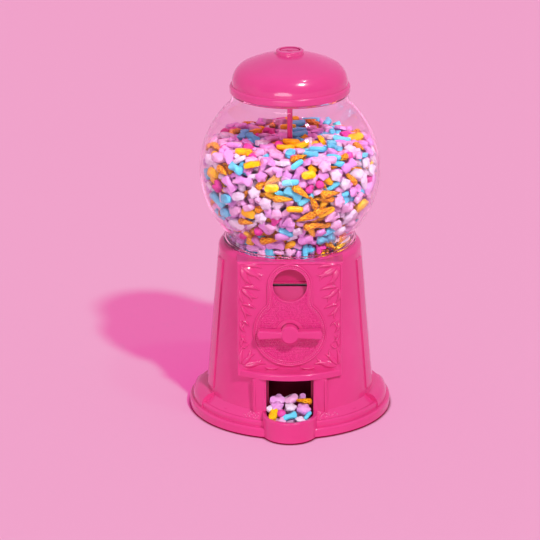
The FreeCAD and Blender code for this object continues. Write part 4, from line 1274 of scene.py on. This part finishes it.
@dataclass
class SweetHeap:
    """The sweets in the globe and the hopper under it, shaken down so that they lie against each other."""

    floor: float = 105.7 * MM
    chamber: float = 35.6 * MM
    ledge: float = 40.1 * MM
    ledge_low: float = 127.1 * MM
    ledge_top: float = 129.8 * MM
    neck: float = 45.6 * MM
    ball: float = 66.0 * MM
    ball_level: float = 189.14 * MM
    ball_drop: float = 45.0 * MM
    top: float = 215.1 * MM
    rod: float = 2.4 * MM
    cap: float = 7.6 * MM
    cap_top: float = 108.8 * MM
    seat_pitch: float = 12.6 * MM
    seat_depth: float = 5.1 * MM
    seat_low: float = 145.58 * MM
    seat_clear: float = 0.36
    back_gap: float = 2.4 * MM
    spacing: float = 7.4 * MM
    layer_share: float = 0.92
    shake: float = 0.36
    first_layer: float = 3.5 * MM
    last_layer: float = 2.0 * MM
    wall_gap: float = 1.2 * MM
    rod_gap: float = 3.0 * MM
    wall_zone: float = 9.0 * MM
    flat_zone: float = 7.0 * MM
    top_zone: float = 12.0 * MM
    lying_zone: float = 8.0 * MM
    along_share: float = 0.85
    along_wall: float = 0.9
    upright: float = 0.4
    upright_on_top: float = 0.15
    size_range: tuple[float, float] = (0.9, 1.1)
    facing_up: float = 1.2
    facing_scatter: float = 0.7
    wall_scatter: float = 0.25
    flat_share: float = 0.45
    lying_share: float = 0.85
    lying_scatter: float = 0.2
    tint_range: float = 0.8
    pair_gap: float = 2.0 * MM
    push_share: float = 0.3
    rounds: int = 140
    pairs_every: int = 10
    seed: int = 11

    def room(self, level: Array) -> Array:
        """Inner radius at each level: a flaring chamber, the hopper's ledge, the neck, then the ball.

        Args:
            level: (n,) heights.

        Returns:
            (n,) radii.
        """
        share = (level - self.floor) / (self.ledge_low - self.floor)
        flare = self.chamber + (self.ledge - self.chamber) * share
        round_part = np.sqrt(np.clip(self.ball**2 - (level - self.ball_level) ** 2, 0.0, None))
        below = np.where(level < self.ledge_low, np.clip(flare, self.chamber, self.ledge), self.ledge)
        above = np.maximum(self.neck, round_part)
        return np.where(level < self.ledge_top, below, above)

    def in_ball(self, places: Array) -> Array:
        """Whether the ball's face, and not an upright wall, is the nearest to each place."""
        return places[:, 2] > self.ball_level - self.ball_drop

    def kept_in(self, points: Array, girth: Array | float) -> Array:
        """Moves points that lie outside the container back to its face.

        Args:
            points: (n, 3) centres.
            girth: how far inside the face each must stay.

        Returns:
            The moved points.
        """
        moved = points.copy()
        moved[:, 2] = np.clip(moved[:, 2], self.floor + girth, self.top - girth)
        in_ball = self.in_ball(moved)
        centre = self.ball_level * UP
        arm = moved - centre
        far = np.linalg.norm(arm, axis=1)
        pulled = centre + arm * np.minimum(1.0, (self.ball - girth) / np.maximum(far, TINY))[:, None]
        moved = np.where(in_ball[:, None], pulled, moved)
        out = np.hypot(moved[:, 0], moved[:, 1])
        low = self.rod + girth + np.where(moved[:, 2] < self.cap_top + girth, self.cap - self.rod, 0.0)
        high = self.room(moved[:, 2]) - np.where(in_ball, 0.0, girth)
        moved[:, :2] *= (np.clip(out, low, high) / np.maximum(out, TINY))[:, None]
        return moved

    def seats(self) -> Array:
        """Seats of the sweets that touch the glass or lie on top, as on the CAD fill.

        One spiral runs down the ball and one over the top, with the golden angle from seat to seat and as
        much room for each seat as for a point of a triangular pattern.

        Returns:
            (n, 3) places.
        """
        golden = math.pi * (3.0 - math.sqrt(5.0))
        cell = self.seat_pitch**2 * math.sqrt(3.0) / 2.0
        high = self.top - self.seat_depth
        seat = self.ball - self.seat_depth
        count = int(2.0 * math.pi * seat * (high - self.seat_low) / cell)
        level = high - (high - self.seat_low) * (np.arange(count) + 0.5) / count
        radius = np.sqrt(seat**2 - (level - self.ball_level) ** 2)
        edge = math.sqrt(seat**2 - (high - self.ball_level) ** 2) - 0.5 * self.seat_pitch
        top_count = int(math.pi * edge**2 / cell)
        number = np.concatenate([np.arange(count), np.arange(1, top_count)])
        radius = np.concatenate([radius, edge * np.sqrt((np.arange(1, top_count) + 0.5) / top_count)])
        level = np.concatenate([level, np.full(top_count - 1, high)])
        return np.stack([radius * np.cos(golden * number), radius * np.sin(golden * number), level], -1)

    def drawn(self, rng: np.random.Generator) -> tuple[Array, Array]:
        """Starting places, first the seats and then a shaken lattice, and long axes along the wall near it.

        Args:
            rng: the random source.

        Returns:
            (n, 3) places and (n, 3) unit axes.
        """
        half = math.ceil(self.ball / self.spacing)
        side = np.arange(-half, half + 1) * self.spacing
        levels = np.arange(self.floor + self.first_layer, self.top - self.last_layer,
                           self.spacing * self.layer_share)
        lattice = np.stack(np.meshgrid(side, side, levels, indexing="ij"), -1).reshape(-1, 3)
        places = lattice + rng.uniform(-self.shake, self.shake, lattice.shape) * self.spacing
        out = np.hypot(places[:, 0], places[:, 1])
        within = out < self.room(places[:, 2]) - self.wall_gap
        places = places[within & (out > self.rod + self.rod_gap)]
        seats = self.seats()
        nearest = np.linalg.norm(places[:, None] - seats[None], axis=2).min(axis=1)
        places = np.concatenate([seats, places[nearest > self.seat_clear * self.seat_pitch]])
        axes = rng.normal(size=places.shape)
        away = self.away(places)
        near = self.depth(places) < self.wall_zone
        lean = np.where(near & (rng.random(len(places)) < self.along_share), self.along_wall, 0.0)
        axes -= (lean * np.einsum("ij,ij->i", axes, away))[:, None] * away
        on_top = places[:, 2] > self.top - self.top_zone
        axes[:, 2] *= np.where(on_top, self.upright_on_top, self.upright)
        return places, unit(axes)

    def away(self, places: Array) -> Array:
        """Unit directions from each place straight to the nearest wall.

        Args:
            places: (n, 3) points.

        Returns:
            (n, 3) unit directions.
        """
        arm = places - self.ball_level * UP
        arm[:, 2] = np.where(self.in_ball(places), arm[:, 2], 0.0)
        return arm / np.maximum(np.linalg.norm(arm, axis=1, keepdims=True), TINY)

    def depth(self, places: Array) -> Array:
        """How far inside the wall each place lies.

        Args:
            places: (n, 3) points.

        Returns:
            (n,) distances.
        """
        ball = self.ball - np.linalg.norm(places - self.ball_level * UP, axis=1)
        straight = self.room(places[:, 2]) - np.hypot(places[:, 0], places[:, 1])
        return np.where(self.in_ball(places), ball, straight)

    def settled(self, places: Array, axes: Array, sizes: Array, held: int) -> tuple[Array, Array]:
        """Pushes the sweets apart and into the container, each taken as three balls in a row.

        Overlapping balls move apart by part of their overlap; a sweet takes the mean of its balls' moves and
        turns to the line between its end balls. The first ones keep their place along the wall and the
        rest stay a little behind them.

        Args:
            places: (n, 3) starting places.
            axes: (n, 3) unit long axes.
            sizes: (n, 3) half sizes.
            held: how many of the first ones keep their place.

        Returns:
            The places and the axes at the end.
        """
        count = len(places)
        girth = 0.5 * (sizes[:, 1] + sizes[:, 2])
        reach = np.maximum(sizes[:, 0] - girth, 0.0)
        beads = np.array([-1.0, 0.0, 1.0])
        owner = np.repeat(np.arange(count), 3)
        behind = (np.arange(count) >= held) & (places[:, 2] > self.seat_low)
        room = girth + np.where(behind, self.back_gap, 0.0)
        flat = places[:held, 2] > self.top - 1.01 * self.seat_depth
        outward = np.where(flat[:, None], [UP], self.away(places[:held]))
        home = places[:held] + outward * (self.seat_depth - girth[:held, None])
        home_axes = axes[:held].copy()
        for number in range(self.rounds):
            if number % self.pairs_every == 0:
                gap = np.linalg.norm(places[:, None] - places[None], axis=2)
                touch = gap < sizes[:, None, 0] + sizes[None, :, 0] + self.pair_gap
                one, two = np.nonzero(np.triu(touch, 1))
            spots = places[:, None] + axes[:, None] * (reach[:, None] * beads)[..., None]
            apart = spots[one][:, :, None] - spots[two][:, None]
            span = np.maximum(np.linalg.norm(apart, axis=3), 0.1 * TINY)
            lap = np.clip((girth[one] + girth[two])[:, None, None] - span, 0.0, None)
            push = apart * (self.push_share * lap / span)[..., None]
            moves = np.zeros((count, 3, 3))
            for bead in range(3):
                np.add.at(moves[:, bead], one, push[:, bead].sum(axis=1))
                np.add.at(moves[:, bead], two, -push[:, :, bead].sum(axis=1))
            spots = (spots + moves).reshape(-1, 3)
            spots = self.kept_in(spots, room[owner]).reshape(count, 3, 3)
            places = spots.mean(axis=1)
            axes = unit(spots[:, 2] - spots[:, 0] + axes * TINY)
            places[:held], axes[:held] = home, home_axes
        return places, axes

    def batch(self) -> SweetBatch:
        """Draws the sweets, settles them, and turns each flat against the wall, the top or a random way.

        Returns:
            The sweets of the heap.
        """
        rng = np.random.default_rng(self.seed)
        places, axes = self.drawn(rng)
        count = len(places)
        shares = np.array([kind.share for kind in SWEET_KINDS])
        kinds = [SWEET_KINDS[n] for n in rng.choice(len(SWEET_KINDS), count, p=shares / shares.sum())]
        forms = [kind.forms[rng.integers(len(kind.forms))] for kind in kinds]
        sizes = np.array([HALF_SIZES_MM[form] for form in forms]) * MM
        sizes = sizes * rng.uniform(*self.size_range, (count, 1))
        held = len(self.seats())
        places, axes = self.settled(places, axes, sizes, held)
        facing = self.facing_up * UP + self.facing_scatter * rng.normal(size=(count, 3))
        flat = (rng.random(count) < self.flat_share) | (np.arange(count) < held)
        near = (self.depth(places) < self.flat_zone) & flat
        facing = np.where(near[:, None], self.away(places) + self.wall_scatter * facing, facing)
        lying = (places[:, 2] > self.top - self.lying_zone) & (rng.random(count) < self.lying_share)
        upward = UP + self.lying_scatter * rng.normal(size=(count, 3))
        facing = square_to(axes, np.where(lying[:, None], upward, facing))
        tints = rng.random(count) ** 2 * self.tint_range
        return SweetBatch(places, axes, facing, sizes, forms, kinds, tints)

    def build(self) -> None:
        """Makes the sweets, with every point inside the glass, in the place of the CAD fill."""
        surfaces = self.batch().surfaces()
        for surface in surfaces.values():
            surface.points = self.kept_in(surface.points, 0.0)
        fix_sweets("globe", surfaces, "candy_fill")


@dataclass
class TraySweets:
    """The sweets that have rolled into the tray: hidden layers on its floor, and those on top.

    Each row of those on top has a kind, a form, a place in millimetres, a turn in degrees and a scale.
    """

    centre: float = -67.0 * MM
    reach: float = 13.4 * MM
    floor: float = 9.3 * MM
    layer: float = 5.0 * MM
    layers: int = 4
    layer_shift: float = 2.0 * MM
    spacing: float = 9.4 * MM
    slope_foot: tuple[float, float] = (-84.0 * MM, 16.0 * MM)
    slope: float = 12.0 / 26.0
    cover: float = 4.4 * MM
    hidden_scale: float = 0.74
    tilt: float = 0.12
    tint_range: float = 0.4
    seed: int = 5
    shown: tuple = (
        (LILAC, Form.FLOWER, -9.4, -67.2, 22.6, 20.0, 1.0),
        (MAGENTA, Form.BALL, -6.2, -74.2, 19.6, 0.0, 1.0),
        (YELLOW, Form.LUMP, -12.2, -73.6, 18.6, 70.0, 0.9),
        (WHITE, Form.LUMP, -13.8, -67.6, 21.4, 40.0, 0.7),
        (CYAN, Form.BOW, -0.2, -76.6, 18.4, 15.0, 0.85),
        (WHITE, Form.FLOWER, 0.6, -68.2, 22.2, 10.0, 0.95),
        (LILAC, Form.FLOWER, 10.2, -69.9, 21.6, -15.0, 1.15),
        (WHITE, Form.CLOUD, 7.6, -78.6, 16.6, -30.0, 0.75),
        (CYAN, Form.ROD, 13.2, -74.6, 18.2, 60.0, 0.7),
        (ROSE, Form.HEART, -6.4, -80.2, 16.2, 25.0, 0.7),
        (ORANGE, Form.CONE, 9.8, -61.8, 25.0, -8.0, 0.9),
        (LILAC, Form.LUMP, -9.4, -61.4, 25.0, 5.0, 1.0),
        (ROSE, Form.LUMP, 1.0, -60.6, 25.4, 35.0, 1.0),
    )

    def hidden(self, rng: np.random.Generator) -> list[tuple]:
        """Sweets of the lower layers: a square pattern in the tray and its mouth, under the slope.

        Args:
            rng: the random source.

        Returns:
            Rows like those of the shown sweets.
        """
        rows = []
        steps = np.arange(-1, 2) * self.spacing
        for number, level in enumerate(np.arange(self.layers) * self.layer + self.floor):
            for across in steps:
                for back in self.centre + steps + (number % 2) * self.layer_shift:
                    off = math.hypot(across, min(back - self.centre, 0.0))
                    ceiling = self.slope_foot[1] + self.slope * (back - self.slope_foot[0]) - self.cover
                    if off < self.reach and level < ceiling:
                        kind = (LILAC, ROSE, WHITE)[rng.integers(3)]
                        rows.append((kind, Form.LUMP, across / MM, back / MM, level / MM,
                                     float(rng.uniform(0.0, 180.0)), self.hidden_scale))
        return rows

    def batch(self) -> SweetBatch:
        """Turns the rows into sweets that lie on the slope with a little tilt of their own.

        Returns:
            The sweets of the tray.
        """
        rng = np.random.default_rng(self.seed)
        rows = list(self.shown) + self.hidden(rng)
        places = np.array([row[2:5] for row in rows]) * MM
        turn = np.radians([row[5] for row in rows])
        sizes = np.array([HALF_SIZES_MM[row[1]] for row in rows]) * MM
        sizes *= np.array([row[6] for row in rows])[:, None]
        facing = unit(np.array([0.0, -self.slope, 1.0]) + rng.normal(size=places.shape) * self.tilt)
        axes = square_to(facing, np.stack([np.cos(turn), np.sin(turn), np.zeros(len(rows))], -1))
        return SweetBatch(places, axes, facing, sizes, [row[1] for row in rows], [row[0] for row in rows],
                          rng.random(len(rows)) * self.tint_range)

    def build(self) -> None:
        """Makes the sweets in the place of the CAD ones."""
        fix_sweets("tray", self.batch().surfaces(), "tray_candy")


class Lit(Enum):
    """What a lamp lights."""

    ALL = "everything"
    MACHINE = "machine"
    SWEETS = "sweets"


@dataclass(frozen=True)
class Lamp:
    """A lamp that points from its place to its aim: a sun if it has an angle in degrees, or else an area.

    A lamp that isn't seen leaves no mark in gloss or through glass. What lights the sweets alone stands for
    the light that passes through sugar and glass, so only sweets shade it.
    """

    name: str
    energy: float
    place: Place
    aim: Place
    size: tuple[float, float] = (0.8, 0.6)
    tone: Colour = (1.0, 1.0, 1.0)
    lights: Lit = Lit.ALL
    seen: bool = True
    angle: float = 0.0

    def build(self, groups: dict[Lit, bpy.types.Collection]) -> None:
        """Places the lamp.

        Args:
            groups: the pieces that a lamp may be kept to.
        """
        data = bpy.data.lights.new(self.name, "SUN" if self.angle else "AREA")
        data.energy = self.energy
        data.color = self.tone
        if self.angle:
            data.angle = math.radians(self.angle)
        else:
            data.shape = "ELLIPSE"
            data.size, data.size_y = self.size
        made = bpy.data.objects.new(self.name, data)
        made.location = self.place
        way = Vector(self.aim) - Vector(self.place)
        made.rotation_euler = way.to_track_quat("-Z", "Y").to_euler()
        bpy.context.scene.collection.objects.link(made)
        made.visible_glossy = made.visible_transmission = self.seen
        if self.lights is not Lit.ALL:
            made.light_linking.receiver_collection = groups[self.lights]
        if self.lights is Lit.SWEETS:
            made.light_linking.blocker_collection = groups[self.lights]


LAMPS = (
    Lamp("key", 1.92, (0.0, 0.0, 0.0), (-0.343, 0.587, -0.734), angle=3.4),
    Lamp("high_lamp", 3.8, (0.84, -0.66, 2.5), (0.0, 0.0, 0.22), (0.18, 0.18)),
    Lamp("front_card", 5.0, (-0.3, -1.3, 0.06), (0.0, 0.0, 0.2), lights=Lit.MACHINE),
    Lamp("side_fill", 3.4, (-1.2, -0.3, 0.3), (0.0, 0.0, 0.14), lights=Lit.MACHINE, seen=False),
    Lamp("back_fill", 3.0, (0.5, 1.4, 0.55), (0.0, 0.0, 0.16), (0.8, 0.5), lights=Lit.MACHINE, seen=False),
    Lamp("sweet_fill", 11.0, (0.0, 0.1, 1.6), (0.0, 0.0, 0.2), (0.8, 0.8), linear(255, 176, 214),
         Lit.SWEETS, False),
    Lamp("sweet_front", 2.4, (0.1, -1.2, -0.1), (0.0, 0.0, 0.13), (0.6, 0.6), linear(216, 232, 255),
         Lit.SWEETS, False),
)


@dataclass
class Studio:
    """The stage: a pink floor, a pale surround, the lamps, and a camera fitted to the outline."""

    floor_half: float = 5.0
    contact: float = 0.003
    contact_range: tuple[float, float] = (0.5, 0.9)
    # Colour of the painted contact shadow that the floor's glow darkens to under the machine's edge.
    painted_contact_shadow: Colour = linear(120, 0, 40)
    floor_lit: Colour = (0.784, 0.0, 0.289)
    floor_tint: Colour = (0.106, 0.458, 0.37)
    floor_bounce: Colour = linear(236, 150, 195)
    surround: Colour = linear(238, 150, 194)
    surround_front: Colour = linear(150, 70, 110)
    front_range: tuple[float, float] = (-0.7, 0.2)
    fill_tone: Colour = linear(250, 226, 238)
    fill: float = 0.41
    camera_place: Place = (0.0, -1.820, 0.748)
    camera_pitch: float = 70.61
    lens: float = 168.4
    shift: float = -0.0368

    def seen_by(self, nodes: Nodes) -> bpy.types.Node:
        """A node whose value is 1 for rays from the camera, a gloss or glass, and 0 for the others.

        Args:
            nodes: the tree that it is made in.

        Returns:
            The node.
        """
        path = nodes.add("ShaderNodeLightPath")
        first = nodes.add("ShaderNodeMath", operation="ADD")
        both = nodes.add("ShaderNodeMath", operation="ADD", use_clamp=True)
        nodes.join((path, "Is Camera Ray", first, 0), (path, "Is Glossy Ray", first, 1),
                   (first, "Value", both, 0), (path, "Is Transmission Ray", both, 1))
        return both

    def floor(self) -> None:
        """A flat floor whose glow and tint, seen by the camera, leave a soft pink shadow and a painted
        contact shadow.
        """
        half = self.floor_half
        corners = np.array([(-half, -half, 0.0), (half, -half, 0.0), (half, half, 0.0), (-half, half, 0.0)])
        made = piece("floor", Surface.of(corners, np.array([[0, 1, 2, 3]])))
        shader = Shader("pink_floor")
        shader.tree.nodes.remove(shader.surface)
        plain = shader.add("ShaderNodeBsdfDiffuse", {"Color": (*self.floor_bounce, 1.0)})
        tint = shader.add("ShaderNodeBsdfDiffuse")
        glow = shader.add("ShaderNodeEmission")
        # Ambient occlusion darkens the floor's glow and tint near the machine: a painted contact shadow.
        open_share = shader.add("ShaderNodeAmbientOcclusion", {"Distance": self.contact}, samples=8)
        closed, opened = self.contact_range
        clear = shader.add("ShaderNodeMapRange", {"From Min": closed, "From Max": opened})
        shader.join((open_share, "AO", clear, "Value"))
        for near, far, target in ((self.painted_contact_shadow, self.floor_lit, glow),
                                  ((0.0, 0.0, 0.0), self.floor_tint, tint)):
            tone = shader.add("ShaderNodeMix", {"A": (*near, 1.0), "B": (*far, 1.0)}, data_type="RGBA")
            shader.join((clear, "Result", tone, "Factor"), (tone, "Result", target, "Color"))
        seen = shader.add("ShaderNodeAddShader")
        mix = shader.add("ShaderNodeMixShader")
        shader.join((tint, "BSDF", seen, 0), (glow, "Emission", seen, 1),
                    (self.seen_by(shader), "Value", mix, "Fac"), (plain, "BSDF", mix, 1),
                    (seen, "Shader", mix, 2), (mix, "Shader", shader.output, "Surface"))
        made.data.materials.append(shader.material)

    def surroundings(self) -> None:
        """A pink surround: dim and even as a fill light; in glass and gloss pale, and deeper in front."""
        world = bpy.data.worlds.new("surround")
        bpy.context.scene.world = world
        world.use_nodes = True
        nodes = Nodes(world.node_tree)
        nodes.tree.nodes.clear()
        leave = nodes.add("ShaderNodeOutputWorld")
        fill = nodes.add("ShaderNodeBackground", {"Color": (*self.fill_tone, 1.0), "Strength": self.fill})
        seen = nodes.add("ShaderNodeBackground")
        place = nodes.add("ShaderNodeTexCoord")
        way = nodes.add("ShaderNodeSeparateXYZ")
        front, back = self.front_range
        depth = nodes.add("ShaderNodeMapRange", {"From Min": front, "From Max": back})
        tone = nodes.add("ShaderNodeMix", data_type="RGBA",
                         values={"A": (*self.surround_front, 1.0), "B": (*self.surround, 1.0)})
        mix = nodes.add("ShaderNodeMixShader")
        nodes.join(
            (place, "Generated", way, "Vector"),
            (way, "Y", depth, "Value"),
            (depth, "Result", tone, "Factor"),
            (tone, "Result", seen, "Color"),
            (self.seen_by(nodes), "Value", mix, "Fac"),
            (fill, "Background", mix, 1),
            (seen, "Background", mix, 2),
            (mix, "Shader", leave, "Surface"),
        )

    def lamps(self) -> None:
        """Places the lamps. Those that stand near the floor light the machine or its sweets alone."""
        groups = {lit: bpy.data.collections.new(lit.value) for lit in (Lit.MACHINE, Lit.SWEETS)}
        for made in bpy.context.scene.objects:
            if made.type == "MESH" and made.name != "floor":
                groups[Lit.MACHINE].objects.link(made)
                if made.name.endswith(("_sugar", "_waffle")):
                    groups[Lit.SWEETS].objects.link(made)
        for lamp in LAMPS:
            lamp.build(groups)

    def camera(self) -> None:
        """Places the camera."""
        data = bpy.data.cameras.new("camera")
        data.lens = self.lens
        data.shift_x = self.shift
        made = bpy.data.objects.new("camera", data)
        made.location = self.camera_place
        made.rotation_euler = (math.radians(self.camera_pitch), 0.0, 0.0)
        bpy.context.scene.collection.objects.link(made)
        bpy.context.scene.camera = made

    def build(self) -> None:
        """Sets the stage."""
        bpy.context.scene.view_settings.view_transform = "Standard"
        self.floor()
        self.surroundings()
        self.lamps()
        self.camera()
        LOG.info("stage set")


def main() -> None:
    """Builds each part of the machine's looks in order, then the stage."""
    logging.basicConfig(level=logging.INFO, format="%(name)s: %(message)s")
    dress_nodes()
    FrontPanel().build()
    CastTrim().build()
    GlobeGlass().build()
    SweetHeap().build()
    TraySweets().build()
    Studio().build()


if __name__ == "__main__":
    main()
